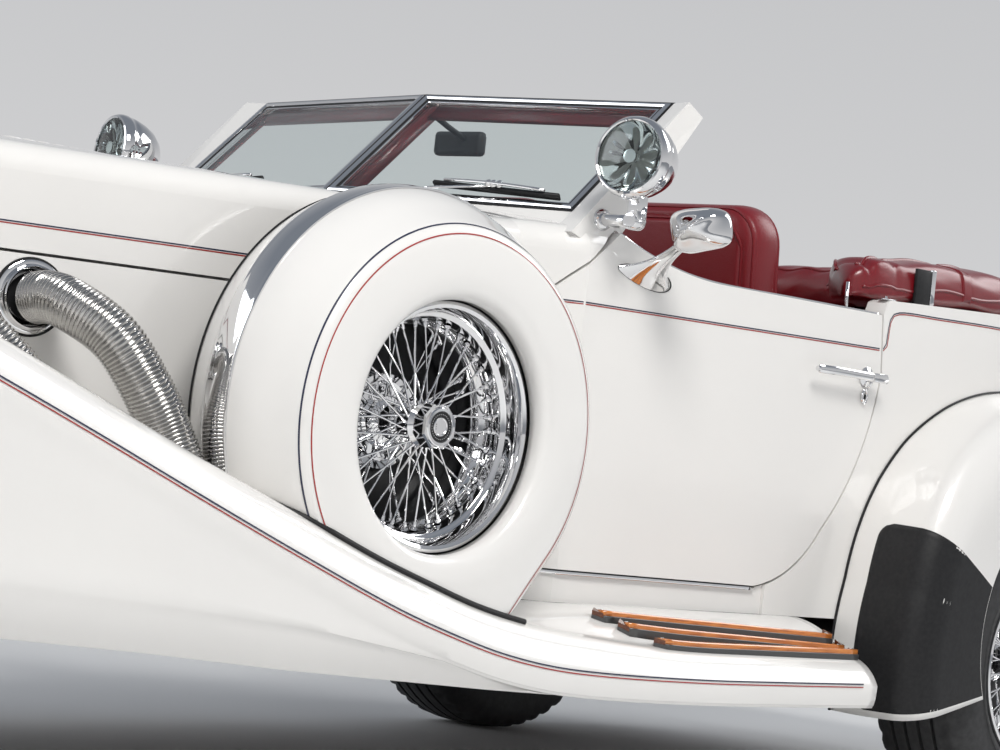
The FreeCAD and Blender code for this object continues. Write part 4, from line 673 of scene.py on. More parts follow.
# Covers of the spare wheels. "profile" holds pairs of y and radius, and "rim" pairs of growth
# and depth round the wheel's opening.
cover = {"x": 0.416, "z": 0.713, "radius": 0.356, "tail": (0.202, 0.411), "tailReach": 0.55,
    "face": 0.836, "rearX": 0.062, "hole": 0.215, "segments": 180, "bandY": (0.656, 0.711),
    "beadY": 0.6035, "edgeY": 0.798, "profile": [(0.603, 0.388), (0.62, 0.3945), (0.64, 0.4003),
    (0.66, 0.4032), (0.68, 0.4038), (0.7, 0.4018), (0.72, 0.3973), (0.74, 0.39), (0.76, 0.38),
    (0.78, 0.368), (0.798, 0.3575), (0.812, 0.3495), (0.822, 0.3432), (0.829, 0.3365),
    (0.8335, 0.3275), (0.8355, 0.318), (0.836, 0.308)], "rim": [(0.02, 0.0012), (0.012, 0.0036),
    (0.006, 0.0078), (0.002, 0.0138), (0, 0.022), (0, 0.036)],
    # name, look, radius, width
    "stripes": [("coverStripeRed", "stripeRed", 0.326, 0.0024),
    ("coverStripeDark", "stripeBlue", 0.343, 0.0032)]}


def tailAngle():
    reachX, reachZ = cover["tail"][0] - cover["x"], cover["tail"][1] - cover["z"]
    slant = math.acos(cover["radius"] / math.hypot(reachX, reachZ))
    return math.atan2(reachZ, reachX) % (2 * math.pi) - slant


crownPoints = smoothLine([(y, 0, r) for y, r in cover["profile"]], 200)
crownYs, crownRadii = zip(*[(min(y, cover["face"]), r) for y, _, r in crownPoints])


def crownRadius(y):
    return float(np.interp(y, crownYs, crownRadii))


def coverRadius(angle, y):
    # The crowned belt, flat at the rear, and the tail that runs down to the wing.
    crown = crownRadius(y)
    if math.cos(angle) < 0:
        flat = (cover["x"] - cover["rearX"]) / -math.cos(angle)
        crown = min(crown, max(flat, cover["radius"]))
    turn = (angle % (2 * math.pi)) - tailAngle()
    if 0 < turn < cover["tailReach"]:
        lost = cover["radius"] - min(crownRadius(y), cover["radius"])
        crown = max(crown, cover["radius"] / math.cos(turn) - lost)
    return crown


def wingLimit(angle, y, step=0.006, noLimit=9.0):
    # How far out from the spare's centre the wing's surface is met.
    if math.sin(angle) >= -0.02:
        return noLimit
    previous = None
    for index in range(60):
        reach = 0.19 + step * index
        x = cover["x"] + reach * math.cos(angle)
        above = cover["z"] + reach * math.sin(angle) - wingTop(x, y)
        if above <= 0:
            return reach if previous is None else reach - step * above / (above - previous)
        previous = above
    return noLimit


def coverPoint(radius, angle, y):
    return (cover["x"] + radius * math.cos(angle), y, cover["z"] + radius * math.sin(angle))


def edgePlace(radius):
    # y on the rounded edge where the cover has that radius
    edge = [p for p in cover["profile"] if p[0] >= cover["edgeY"]]
    return float(np.interp(-radius, [-p[1] for p in edge], [p[0] for p in edge]))


def makeCover():
    angles, face, hole = turnsOf(cover["segments"]), cover["face"], cover["hole"]
    rows = []
    for y in sorted(set(crownYs[::6] + crownYs[-1:])):
        rows.append([coverPoint(min(coverRadius(a, y), wingLimit(a, y)), a, y) for a in angles])
    edge = [min(coverRadius(a, face), wingLimit(a, face)) for a in angles]
    for share in (0.3, 0.6, 0.85, 1.0):
        y = face + 0.0012 * math.sin(share * math.pi)
        rows.append([coverPoint(blend(e, hole + 0.03, share), a, y) for e, a in zip(edge, angles)])
    for out, back in cover["rim"]:
        rows.append([coverPoint(hole + out, a, face - back) for a in angles])
    made = gridObject("spareCoverLeft", rows, "whitePaint", closeColumns=True)
    thick = made.modifiers.new("thickness", "SOLIDIFY")
    thick.thickness, thick.offset = 0.0025, -1
    parts = [made]
    for name, look, reach, width in cover["stripes"]:
        y = edgePlace(reach)
        lean = (edgePlace(reach - 0.004) - edgePlace(reach + 0.004)) / 0.008
        angles = [math.radians(-50 + 300 * k / 240) for k in range(241)]
        angles = [a for a in angles if coverRadius(a, y) <= wingLimit(a, y) - 0.001]
        points = [coverPoint(coverRadius(a, y), a, y) for a in angles]
        normals = [(lean * math.cos(a), 1.0, lean * math.sin(a)) for a in angles]
        parts.append(ribbon(name + "Left", points, normals, width, look))
    return parts


def makeSeal():
    front = []
    for y in np.linspace(0.64, 0.832, 16).tolist():
        x = 0.74
        for _ in range(12):
            z = wingTop(x, y)
            x = cover["x"] + math.sqrt(max(crownRadius(y) ** 2 - (z - cover["z"]) ** 2, 0.04))
        front.append((x + 0.002, y, z + 0.0025))
    face, tailX = cover["face"], cover["tail"][0]
    along = [(x, face + 0.0015, wingTop(x, face) + 0.003)
             for x in np.linspace(front[-1][0] - 0.02, tailX, 60).tolist()]
    return tube("coverSealLeft", smoothLine(front + along, 170), 0.0056, "blackRubber", count=8)


def makeBand():
    (y0, y1), middle = cover["bandY"], 0.68
    angles = [math.radians(-60 + 211 * k / 299) for k in range(300)]
    angles = [a for a in angles if crownRadius(middle) + 0.003 < wingLimit(a, middle) + 0.004]
    section = [(y0, 0.0004), (y0, 0.003), (y0 + 0.002, 0.0034)]
    section += [(float(y), 0.0028) for y in np.linspace(y0 + 0.006, y1 - 0.006, 9)]
    section += [(y1 - 0.002, 0.0034), (y1, 0.003), (y1, 0.0004)]
    rows = [[coverPoint(coverRadius(a, y) + out, a, y) for y, out in section] for a in angles]
    parts = [cappedGrid("coverBandLeft", rows, "chrome")]
    beadY, middle = cover["beadY"], (y0 + y1) / 2
    bead = tube("coverRearBeadLeft", [coverPoint(coverRadius(a, beadY) + 0.001, a, beadY)
        for a in angles], 0.0022, "blackRubber", up=(0, 1, 0), count=6)
    for a in (angles[4], angles[-6]):
        place = coverPoint(coverRadius(a, middle) + 0.003, a, middle)
        parts.append(lathe("bandScrew", [(0, 0.0024), (0.004, 0.002), (0.006, 0.0), (0.0, -0.001)],
            place, (math.cos(a), 0, math.sin(a)), "chrome", segments=16))
    return [join("coverBandLeft", parts), bead]


coverParts = makeCover() + [makeSeal()] + makeBand()
mirrored(*coverParts)
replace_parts(coverParts[0], "spare_covers")
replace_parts(bpy.data.objects["coverBandLeft"], "spare_bands")
print("spare wheel covers made")

# Wire wheels, shaped about the wheel's centre with the outer side towards +Y. Profiles hold
# pairs of radius and y.
wheelSize = {"centre": 0.352, "track": 0.765, "frontX": 1.791, "rearX": -1.384,
    "spare": (0.416, 0.7, 0.713), "spokes": 40, "spokeRadius": 0.0018, "nippleRadius": 0.0038,
    "nippleLength": 0.016, "marks": 30, "markRadius": 0.0212,
    # radius and width
    "tyre": (0.352, 0.225), "spareTyre": (0.338, 0.186),
    # share of the spokes, shift, lean, then y and radius at the hub and at the rim
    "spokeSets": [(0.5, 0.0, 3.1, 0.05, 0.034, 0.034, 0.181),
    (0.5, 0.5, -3.1, 0.046, 0.034, 0.034, 0.181), (0.25, 0.0, 1.4, -0.034, 0.036, -0.016, 0.17),
    (0.25, 0.5, -1.4, -0.03, 0.036, -0.016, 0.17)], "rim": [(0.2015, 0.083), (0.211, 0.087),
    (0.2136, 0.093), (0.2122, 0.0975), (0.207, 0.099), (0.201, 0.096), (0.1972, 0.087),
    (0.1955, 0.08), (0.1945, 0.07), (0.1935, 0.064), (0.1905, 0.061), (0.187, 0.06), (0.185, 0.058),
    (0.1842, 0.054), (0.1838, 0.043), (0.182, 0.033), (0.1775, 0.024), (0.1715, 0.018),
    (0.169, 0.012), (0.1685, -0.03), (0.172, -0.037), (0.179, -0.043), (0.183, -0.052),
    (0.184, -0.07), (0.185, -0.082), (0.19, -0.085), (0.206, -0.086), (0.2085, -0.0885),
    (0.206, -0.0915), (0.199, -0.089), (0.193, -0.086), (0.19, -0.07), (0.189, -0.052),
    (0.186, -0.04), (0.176, -0.03), (0.1745, 0.01), (0.177, 0.016), (0.184, 0.024), (0.1885, 0.033),
    (0.19, 0.056), (0.196, 0.062), (0.199, 0.079)], "hub": [(0.0, -0.04), (0.04, -0.04),
    (0.044, -0.037), (0.044, -0.029), (0.04, -0.026), (0.03, -0.022), (0.026, -0.01), (0.026, 0.0),
    (0.034, 0.003), (0.035, 0.013), (0.027, 0.017), (0.025, 0.036), (0.034, 0.041), (0.0365, 0.044),
    (0.0365, 0.054), (0.034, 0.057), (0.03, 0.062), (0.03, 0.07), (0.026, 0.074), (0.0, 0.074)],
    "nut": [(0.0, 0.068), (0.0385, 0.068), (0.04, 0.071), (0.04, 0.092), (0.038, 0.096),
    (0.0, 0.096)], "nutFace": [(0.0, 0.0975), (0.013, 0.0975), (0.014, 0.0985), (0.0155, 0.0985),
    (0.0165, 0.097), (0.026, 0.097), (0.027, 0.0995), (0.0315, 0.1), (0.0335, 0.0985),
    (0.035, 0.0955)], "nutRing": [(0.0167, 0.09705), (0.0167, 0.0974), (0.0258, 0.0974),
    (0.0258, 0.09705)]}


def spoke(foot, head):
    foot, head = Vector(foot), Vector(head)
    way, length = (head - foot).normalized(), (head - foot).length
    thin, nipple = wheelSize["spokeRadius"], wheelSize["nippleRadius"]
    neck = length - wheelSize["nippleLength"]
    profile = [(0.0, 0.0), (thin * 1.5, 0.0), (thin * 1.5, 0.006), (thin, 0.009), (thin, neck),
               (nipple * 0.8, neck + 0.0006), (nipple, neck + 0.004), (nipple, length - 0.006),
               (nipple * 1.6, length - 0.0045), (nipple * 1.75, length), (0.0, length)]
    side = way.orthogonal().normalized()
    other = way.cross(side)
    verts = [v for radius, along in profile
        for v in ringOf(foot + way * along, side, other, radius, 8)]
    return verts, gridFaces(len(profile), 8, False, True)


def makeSpokes(name):
    verts, faces = [], []
    for part, shift, lean, hubY, hubR, rimY, rimR in wheelSize["spokeSets"]:
        number = int(wheelSize["spokes"] * part)
        for k in range(number):
            start = 2 * math.pi / number * (k + shift)
            end = start + lean * math.pi / 20
            v, f = spoke((hubR * math.cos(start), hubY, hubR * math.sin(start)),
                         (rimR * math.cos(end), rimY, rimR * math.sin(end)))
            faces += [tuple(i + len(verts) for i in face) for face in f]
            verts += v
    return makeObject(name, verts, faces, "chrome")


def makeWheelParts():
    origin, axle = (0, 0, 0), (0, 1, 0)
    parts = [lathe("wheelRim", wheelSize["rim"], origin, axle, "chrome", segments=128, smooth=30),
             lathe("wheelHub", wheelSize["hub"], origin, axle, "chrome", segments=64, smooth=30)]
    corners = [math.pi * (k + 0.5) / 4 for k in range(8)]
    nut = [[(radius * math.cos(turn), along, radius * math.sin(turn)) for turn in corners]
           for radius, along in wheelSize["nut"]]
    parts += [gridObject("wheelNut", nut, "chrome", closeColumns=True, smooth=20),
        lathe("wheelNutFace", wheelSize["nutFace"], origin, axle, "chrome", segments=64, smooth=20),
        lathe("wheelNutDark", wheelSize["nutRing"], origin, axle, "blackRubber", segments=48),
        makeSpokes("wheelSpokes"), tube("wheelValve", [(0.178, 0.03, 0.0), (0.176, 0.05, 0.0),
        (0.174, 0.066, 0.0)], 0.0045, "blackRubber"), tube("wheelValveCap",
        [(0.1742, 0.06, 0.0), (0.1737, 0.072, 0.0)], 0.0052, "chrome")]
    reach = wheelSize["markRadius"]
    for turn in turnsOf(wheelSize["marks"]):
        parts.append(lathe("wheelMark", [(0, 0.0004), (0.0009, 0.0004), (0.0011, -0.0004)],
            (reach * math.cos(turn), 0.0978, reach * math.sin(turn)), axle, "chrome", segments=6))
    for z in (-0.004, 0.0, 0.004):
        parts.append(boxPiece("wheelBar", (-0.0105, 0.0978, z - 0.0011),
            (0.0105, 0.099, z + 0.0011), "chrome", bevel=0))
    return join("wheelMetal", parts)


def treadedTyre(name, radius, width):
    half = width / 2
    sideWall = [(0.196, 0.079), (0.2, 0.0815), (0.21, 0.085), (0.216, half * 0.83),
        (0.232, half * 0.94), (0.236, half * 0.952), (0.2395, half * 0.96), (0.241, half * 0.99),
        (0.245, half * 0.995), (0.247, half * 0.975), (radius - 0.075, half * 1.0),
        (radius - 0.05, half * 0.985), (radius - 0.03, half * 0.945),
        (radius - 0.016, half * 0.875), (radius - 0.008, half * 0.8)]
    belt = []
    for k, y in enumerate(np.linspace(half * 0.76, -half * 0.76, 21)):
        crown = radius - 0.006 * (y / (half * 0.76)) ** 2
        deep = k in (4, 8, 12, 16)
        belt.append((crown, y + (0.0045 if deep else 0)))
        if deep:
            belt += [(crown - 0.008, y + 0.0035), (crown - 0.008, y - 0.0035), (crown, y - 0.0045)]
    profile = sideWall + belt + [(r, -y) for r, y in reversed(sideWall)]
    made = lathe(name, profile, (0, 0, 0), (0, 1, 0), "tyreRubber", segments=144, smooth=50)
    with editing(made.data) as work:
        for vert in work.verts:      # small sipes on the shoulders
            reach = math.hypot(vert.co.x, vert.co.z)
            slot = int(round(math.atan2(vert.co.z, vert.co.x) / (2 * math.pi / 144))) % 3 == 0
            if slot and reach > radius - 0.017 and abs(vert.co.y) > half * 0.6:
                vert.co.x *= 1 - 0.007 / reach
                vert.co.z *= 1 - 0.007 / reach
    return made


def placeCopies(source, places):
    made = []
    for name, place, body in places:
        mesh = source.data.copy()
        right = place[1] < 0
        with editing(mesh) as work:
            for vert in work.verts:
                x, y, z = vert.co
                vert.co = Vector(place) + Vector((x, -y if right else y, z))
            if right:
                bmesh.ops.reverse_faces(work, faces=work.faces)
        made.append(addPiece(name, mesh, body))
    dropPiece(source)
    return made


def makeAllWheels():
    spareX, spareY, spareZ = wheelSize["spare"]
    road, spares = [], []
    for side, sign in (("left", 1), ("right", -1)):
        spares.append((side.capitalize(), (spareX, sign * spareY, spareZ), "root"))
    for end, x in (("front", wheelSize["frontX"]), ("rear", wheelSize["rearX"])):
        for side, sign in (("left", 1), ("right", -1)):
            road.append((end.capitalize() + side.capitalize(),
                (x, sign * wheelSize["track"], wheelSize["centre"]), "wheel_" + end + "_" + side))

    def named(start, places):
        return [(start + name, place, body) for name, place, body in places]
    metal = placeCopies(makeWheelParts(), named("wheel", road) + named("spareWheel", spares))
    tyres = placeCopies(treadedTyre("tyre", *wheelSize["tyre"]), named("tyre", road))
    spareTyres = placeCopies(treadedTyre("spareTyre", *wheelSize["spareTyre"]),
        named("spareTyre", spares))
    for pieces, start in ((metal, "wheel"), (tyres, "tyre")):
        for piece, (name, place, body) in zip(pieces, road):
            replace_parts(piece, body.replace("wheel", start))
    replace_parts(metal[4], "spare_wheels")
    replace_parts(spareTyres[0], "spare_tyres")


makeAllWheels()
print("wheels and tyres made")

# Corrugated exhaust hoses and their flanges
hose = {"radius": 0.0435, "rib": 0.0027, "pitch": 0.007, "ribSteps": 8,
    "shifts": {"hoseA": 0.0, "hoseB": 0.3}, "path": [(1.008, 0.432, 0.851), (1.009, 0.47, 0.853),
    (1.007, 0.519, 0.844), (0.9665, 0.59, 0.8), (0.921, 0.624, 0.73), (0.882, 0.64, 0.662),
    (0.855, 0.656, 0.597), (0.831, 0.67, 0.537), (0.814, 0.678, 0.493)],
    "flange": [(0.04, 0.0), (0.0605, 0.0), (0.0615, 0.002), (0.061, 0.0045), (0.0585, 0.006),
    (0.0545, 0.0062), (0.053, 0.009), (0.0525, 0.02), (0.0505, 0.0215), (0.0485, 0.02),
    (0.0475, 0.004), (0.04, 0.003)], "gasket": [(0.0, -0.001), (0.0655, -0.001), (0.0655, 0.0012),
    (0.0, 0.0012)]}


def makeHose(name, shift):
    startX, _, startZ = (float(v) for v in hose["path"][0])
    rise = wingTop(0.79 + shift, 0.606) - wingTop(0.79, 0.606)
    inward = bodyPlan(startX) - bodyPlan(startX + shift)
    route = []
    for x, y, z in hose["path"]:
        down = (startZ - z) / (startZ - hose["path"][-1][2])
        route.append((x + shift, y - inward * (1 - min(1, down * 2.2)), z + rise * down))
    fine = smoothLine(route, 400)
    length = sum((Vector(b) - Vector(a)).length for a, b in zip(fine, fine[1:]))
    steps = hose["ribSteps"]
    line = smoothLine(route, int(length / hose["pitch"]) * steps + 1)
    scales = []
    for k in range(len(line)):
        wave = (0.5 + 0.5 * math.cos(2 * math.pi * ((k % steps) / steps))) ** 1.6
        scales.append(1 - hose["rib"] / hose["radius"] * wave)
    foot, normal = bodySide(startX + shift, startZ)
    radius = hose["radius"]
    parts = [sweep(name + "Left", line, ovalProfile(radius, radius, 36), "stainless",
        up=(0.3, 1, 0.2), smooth=60, scales=scales), lathe(name + "LeftFlange", hose["flange"],
        foot, normal, "chrome", segments=72, smooth=30), lathe(name + "LeftGasket", hose["gasket"],
        foot, normal, "blackRubber", segments=48)]
    mirrored(*parts)
    return parts[0]


hoses = [makeHose(name, shift) for name, shift in hose["shifts"].items()]
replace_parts(hoses[0], "exhaust_hoses")
print("hoses made")

# Rear wings, turned about the rear axle, with ribbed stone guards
rearWing = {"axleX": -1.384, "axleZ": 0.352, "side": 0.905, "archZ": 0.41, "archRadius": 0.305,
    "metal": 0.006, "crownY": 0.838, "crownDrop": 0.085, "planEnd": (-2.38, 0.56),
    # degrees from straight ahead, radius of the seam on the body
    "seam": [(-13, 0.521), (2.6, 0.523), (16.2, 0.524), (27.5, 0.54), (39.4, 0.556), (50.8, 0.566),
    (65.8, 0.568), (90, 0.566), (120, 0.57), (150, 0.592), (178, 0.62), (197, 0.624)]}
guard = {"from": -11.5, "to": 29.5, "rows": 60, "columns": 74, "innerY": 0.752, "corner": 0.03,
    "slant": 0.54, "edge": 0.0034, "rib": 0.003, "groove": 0.0018, "hem": 0.001, "thinFrom": 0.885,
    "thinOver": 0.015, "thin": 0.97}


def archEdge(angle):
    lift = rearWing["archZ"] - rearWing["axleZ"]
    return lift * math.sin(angle) + math.sqrt(rearWing["archRadius"] ** 2
        - (lift * math.cos(angle)) ** 2)


def rearPoint(angle, radius, y):
    return (rearWing["axleX"] + radius * math.cos(angle), y,
        rearWing["axleZ"] + radius * math.sin(angle))


def rearSection(angle, count=14):
    # From the seam out over the crown and down the flank, as radius and y.
    seam = float(np.interp(math.degrees(angle), *zip(*rearWing["seam"])))
    side, crownY, drop = rearWing["side"], rearWing["crownY"], rearWing["crownDrop"]
    x = rearPoint(angle, seam, 0)[0]
    endX, endY = rearWing["planEnd"]
    start = (bodyPlan(x) if x > endX else endY) + gap
    line = [(seam + 0.004 * math.sin(math.pi * k / 8), start + (crownY - start) * k / 8)
        for k in range(9)]
    for k in range(1, count + 1):
        turn = math.pi / 2 * k / count
        line.append((seam - drop * (1 - math.cos(turn)), crownY + (side - crownY) * math.sin(turn)))
    edge = archEdge(angle)
    for k in range(1, 9):
        line.append((seam - drop + (edge - seam + drop) * k / 8, side - 0.003 * (k / 8) ** 2))
    return line


def makeRearWing():
    rows, seal, metal = [], [], rearWing["metal"]
    for angle in [math.radians(-13 + 210 * k / 120) for k in range(121)]:
        line = rearSection(angle)
        path = [rearPoint(angle, r, y) for r, y in line]
        back = [rearPoint(angle, r - metal * (k < 17), y - metal * (k > 8))
            for k, (r, y) in enumerate(line)]
        edge, y = line[-1]
        path.append(rearPoint(angle, edge - 0.002, y - 0.003))
        back.append(rearPoint(angle, edge - 0.001, y - 0.01))
        rows.append(path + back[::-1])
        seal.append(rearPoint(angle, line[0][0] + 0.001, line[0][1] + 0.001))
    return [cappedGrid("rearWingLeft", rows, "whitePaint"),
            tube("rearWingPipingLeft", seal, 0.0032, "blackRubber", up=(0, 1, 0), count=8)]


def makeStoneGuard():
    # The guard lies on the wing's front, from near the body to the arch.
    low, top = math.radians(guard["from"]), math.radians(guard["to"])
    count, columns, corner = guard["rows"], guard["columns"], guard["corner"]
    middle = Vector((rearWing["axleX"], 0.6, rearWing["axleZ"]))
    rows = []
    for k in range(count + 1):
        angle = low + (top - low) * k / count
        line = rearSection(angle, 24)
        points = np.array([rearPoint(angle, r, y) for r, y in line])
        run = lengthsAlong(points)
        first = np.interp(guard["innerY"], [y for r, y in line[:9]], run[:9])
        for near in ((top - angle) * guard["slant"], (angle - low) * guard["slant"]):
            if near < corner:
                first = first + corner - math.sqrt(max(corner ** 2 - (corner - near) ** 2, 0))
        last = run[-1] - 0.001

        def at(mark):
            return Vector([float(np.interp(mark, run, points[:, m])) for m in range(3)])
        row = []
        for j in range(columns):
            mark = first + (last - first) * j / (columns - 1)
            base = at(mark)
            along = (at(mark + 0.002) - at(mark - 0.002)).normalized()
            out = Vector((-math.sin(angle), 0, math.cos(angle))).cross(along).normalized()
            if out.dot(base - middle) < 0:
                out = -out
            rim = min(j, columns - 1 - j, k, count - k)
            edge = j < 3 or j > columns - 4 or k < 2 or k > count - 2
            height = guard["hem" if rim == 0 else "edge" if edge else "rib" if j % 2 else "groove"]
            thinner = min(1.0, max(0.0, (base.y - guard["thinFrom"]) / guard["thinOver"]))
            row.append(base + out * (height * (1 - guard["thin"] * thinner)))
        rows.append(row)
    return gridObject("stoneGuardLeft", rows, "blackRubber", smooth=60)


rearParts = makeRearWing() + [makeStoneGuard()]
mirrored(*rearParts)
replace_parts(rearParts[0], "rear_wings")
print("rear wings made")

# Wooden treads of the running boards: x and the middle's y at the front and at the rear
treads = {"rows": {"treadA": ((-0.083, 0.752), (-0.712, 0.792)),
    "treadB": ((-0.115, 0.789), (-0.722, 0.817)), "treadC": ((-0.17, 0.831), (-0.732, 0.843))},
    "width": 0.025, "base": 0.007, "foot": 0.0006, "grow": 0.003, "height": 0.016, "tip": 0.018}


def treadPrism(name, line, half, low, high, look, soft):
    rows = []
    for x, y in line:
        z = wingTop(x, y)
        left, right = y - half, y + half
        rows.append([(x, left, wingTop(x, left) + low), (x, right, wingTop(x, right) + low),
            (x, right, z + high - soft), (x, right - soft, z + high), (x, left + soft, z + high),
            (x, left, z + high - soft)])
    return cappedGrid(name, rows, look, smooth=30)


def makeTread(name, front, rear):
    half = treads["width"] / 2
    base, foot, grow, height = (treads[k] for k in ("base", "foot", "grow", "height"))
    line = [(front[0] + (rear[0] - front[0]) * k / 24, front[1] + (rear[1] - front[1]) * k / 24)
        for k in range(25)]
    parts = [treadPrism(name, line, half + grow, foot, base, "darkStrip", 0.001),
             treadPrism(name + "Wood", line, half, base, height, "wood", 0.002)]
    # The wooden tips at both ends take the darker wood copy: painted shade for the wing's shadow
    # over the ends.
    for (x, y), sign in ((front, 1), (rear, -1)):
        for look, wider, low, high in (("darkStrip", grow, foot, base),
                ("woodDark", 0.0, base, height - 0.001)):
            corners = [(x, y - half - wider), (x, y + half + wider), (x + sign * treads["tip"], y)]
            verts = [(px, py, wingTop(px, py) + h) for h in (low, high) for px, py in corners]
            faces = [(0, 1, 2), (3, 4, 5), (0, 1, 4, 3), (1, 2, 5, 4), (2, 0, 3, 5)]
            parts.append(makeObject(name + "Tip", verts, faces, look, smooth=0))
        parts.append(lathe(name + "Screw", [(0, 0.0016), (0.003, 0.0012), (0.0042, 0.0)],
            (x - sign * 0.004, y, wingTop(x, y) + height), (0, -0.1, 1), "chrome", segments=12))
    made = join(name, parts)
    mirrored(made)
    return made


treadPieces = [makeTread(name + "Left", front, rear)
    for name, (front, rear) in treads["rows"].items()]
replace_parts(treadPieces[0], "step_strips")
print("running board treads made")

# Windscreen: glass in a chrome frame with dark seals, wipers and a mirror. "bands" hold pairs
# of inset from the outline and height over the front face.
screen = {"corners": [(0.0095, 0.0, 1.151), (-0.071, 0.591, 1.138), (-0.329, 0.586, 1.379),
    (-0.239, 0.0, 1.3814)], "bands": {"screenSealOuter": ("blackRubber",
    [(-0.002, -0.01), (-0.002, 0.0015), (0.0025, 0.002), (0.0035, 0.0)]),
    "screenChrome": ("chrome", [(0.003, -0.001), (0.0035, 0.0035), (0.0065, 0.0058),
    (0.0115, 0.0058), (0.015, 0.0035), (0.0155, -0.001)]),
    "screenSealInner": ("blackRubber", [(0.0155, -0.002), (0.0158, 0.0018), (0.0195, 0.0015),
    (0.02, -0.004)]), "screenBead": ("chrome", [(0.0198, -0.004), (0.02, -0.0006), (0.0215, 0.0),
    (0.023, -0.0006), (0.0235, -0.006)]), "screenTrimBack": ("leatherRed",
    [(0.0, -0.0165), (0.0, -0.02), (0.034, -0.022), (0.034, -0.0165)])}}
wiper = {"blade": [(-0.0015, -0.008), (0.0015, -0.008), (0.004, 0.002), (0.003, 0.006),
    (-0.003, 0.006), (-0.004, 0.002)], "pivot": [(0, 0.01), (0.008, 0.009), (0.012, 0.004),
    (0.014, -0.03), (0, -0.03)], "clip": [(0, 0.006), (0.006, 0.004), (0.0075, -0.004),
    (0, -0.006)], "clips": (-0.012, 0.0, 0.014)}


def screenFrame():
    # The four corners, laid into one plane, and the way that the glass faces.
    points = [Vector(p) for p in screen["corners"]]
    foot = points[0]
    normal = (points[1] - foot).cross(points[3] - foot).normalized()
    if normal.x < 0:
        normal = -normal
    return [p - normal * (p - foot).dot(normal) for p in points], normal


screenCorners, screenNormal = screenFrame()


def insetCorner(k, inset):
    corner = screenCorners[k]
    before = (screenCorners[k - 1] - corner).normalized()
    after = (screenCorners[(k + 1) % 4] - corner).normalized()
    return corner + (before + after).normalized() * (inset / math.sin(before.angle(after) / 2))


def makeScreen():
    parts = []
    for name, (look, profile) in screen["bands"].items():
        rows = [[insetCorner(k, inset) + screenNormal * height for k in range(4)]
            for inset, height in profile]
        parts.append(gridObject(name, rows, look, closeColumns=True, smooth=25))
    mirrored(join("screenTrimLeft", parts))


def makeHeader():
    down = (screenCorners[0] - screenCorners[3]).normalized()
    normal, rows = screenNormal, []
    for p in screenCorners[2:]:
        q = p - normal * 0.017
        rows.append([q, q + down * 0.052, q + down * 0.052 - normal * 0.01, q - normal * 0.022,
                     q - normal * 0.022 - down * 0.004, q - down * 0.003])
    header = cappedGrid("screenHeaderLeft", rows, "leatherRed", smooth=30)
    rows = []
    for q in [screenCorners[k] - normal * 0.018 for k in (0, 3)]:
        rows.append([(q.x, 0.0, q.z), (q.x, 0.036, q.z), (q.x - 0.02, 0.034, q.z - 0.01),
            (q.x - 0.03, 0.0, q.z - 0.012)])
    mirrored(header, cappedGrid("screenPostLeft", rows, "leatherRed", smooth=30))


def makeScreenFittings():
    parts = [boxPiece("innerMirror", (-0.385, -0.09, 1.274), (-0.36, 0.046, 1.325), "blackRubber",
        bevel=0.01, segments=4), boxPiece("innerMirrorGlass", (-0.3865, -0.083, 1.28),
        (-0.3845, 0.039, 1.319), "chrome", bevel=0.0005), tube("innerMirrorStalk",
        [(-0.262, 0.0, 1.345), (-0.3, 0.01, 1.325), (-0.362, 0.0, 1.308)], 0.006, "blackRubber")]
    normal, start = screenNormal, screenCorners[0]
    lift = normal * 0.012
    across, rise = ((screenCorners[k] - start).normalized() for k in (1, 3))
    pivot = start + across * 0.15 - rise * 0.01 + lift * 1.6
    head = start + across * 0.4 + rise * 0.034 + lift * 1.6
    bladeStart = head - across * 0.15 + rise * 0.004
    bladeEnd = head + across * 0.155 - rise * 0.01
    arm = [pivot, pivot + (head - pivot) * 0.5 + normal * 0.004, head]
    blade = [p - lift * 0.6 for p in (bladeStart, (bladeStart + bladeEnd) / 2, bladeEnd)]
    bridge = [bladeStart + (bladeEnd - bladeStart) * t
        + normal * (0.003 + 0.006 * math.sin(math.pi * t))
        for t in np.linspace(0.1, 0.9, 9).tolist()]
    for sign in (1, -1):
        def onThisSide(points):
            return [(p.x, sign * p.y, p.z) for p in points]
        way = onThisSide([normal])[0]
        parts += [tube("wiperArm", onThisSide(arm), 0.0028, "chrome", count=8),
            lathe("wiperPivot", wiper["pivot"], onThisSide([pivot])[0], way, "chrome", segments=24),
            sweep("wiperBlade", onThisSide(blade), wiper["blade"], "blackRubber", up=way),
            tube("wiperBridge", onThisSide(bridge), 0.0032, "chrome", count=8)]
        for place in onThisSide([head + across * shift + normal * 0.006
                for shift in wiper["clips"]]):
            parts.append(lathe("wiperClip", wiper["clip"], place, way, "chrome", segments=16))
    join("screenFittings", parts)


makeScreen()
makeHeader()
makeScreenFittings()
print("windscreen dressed")

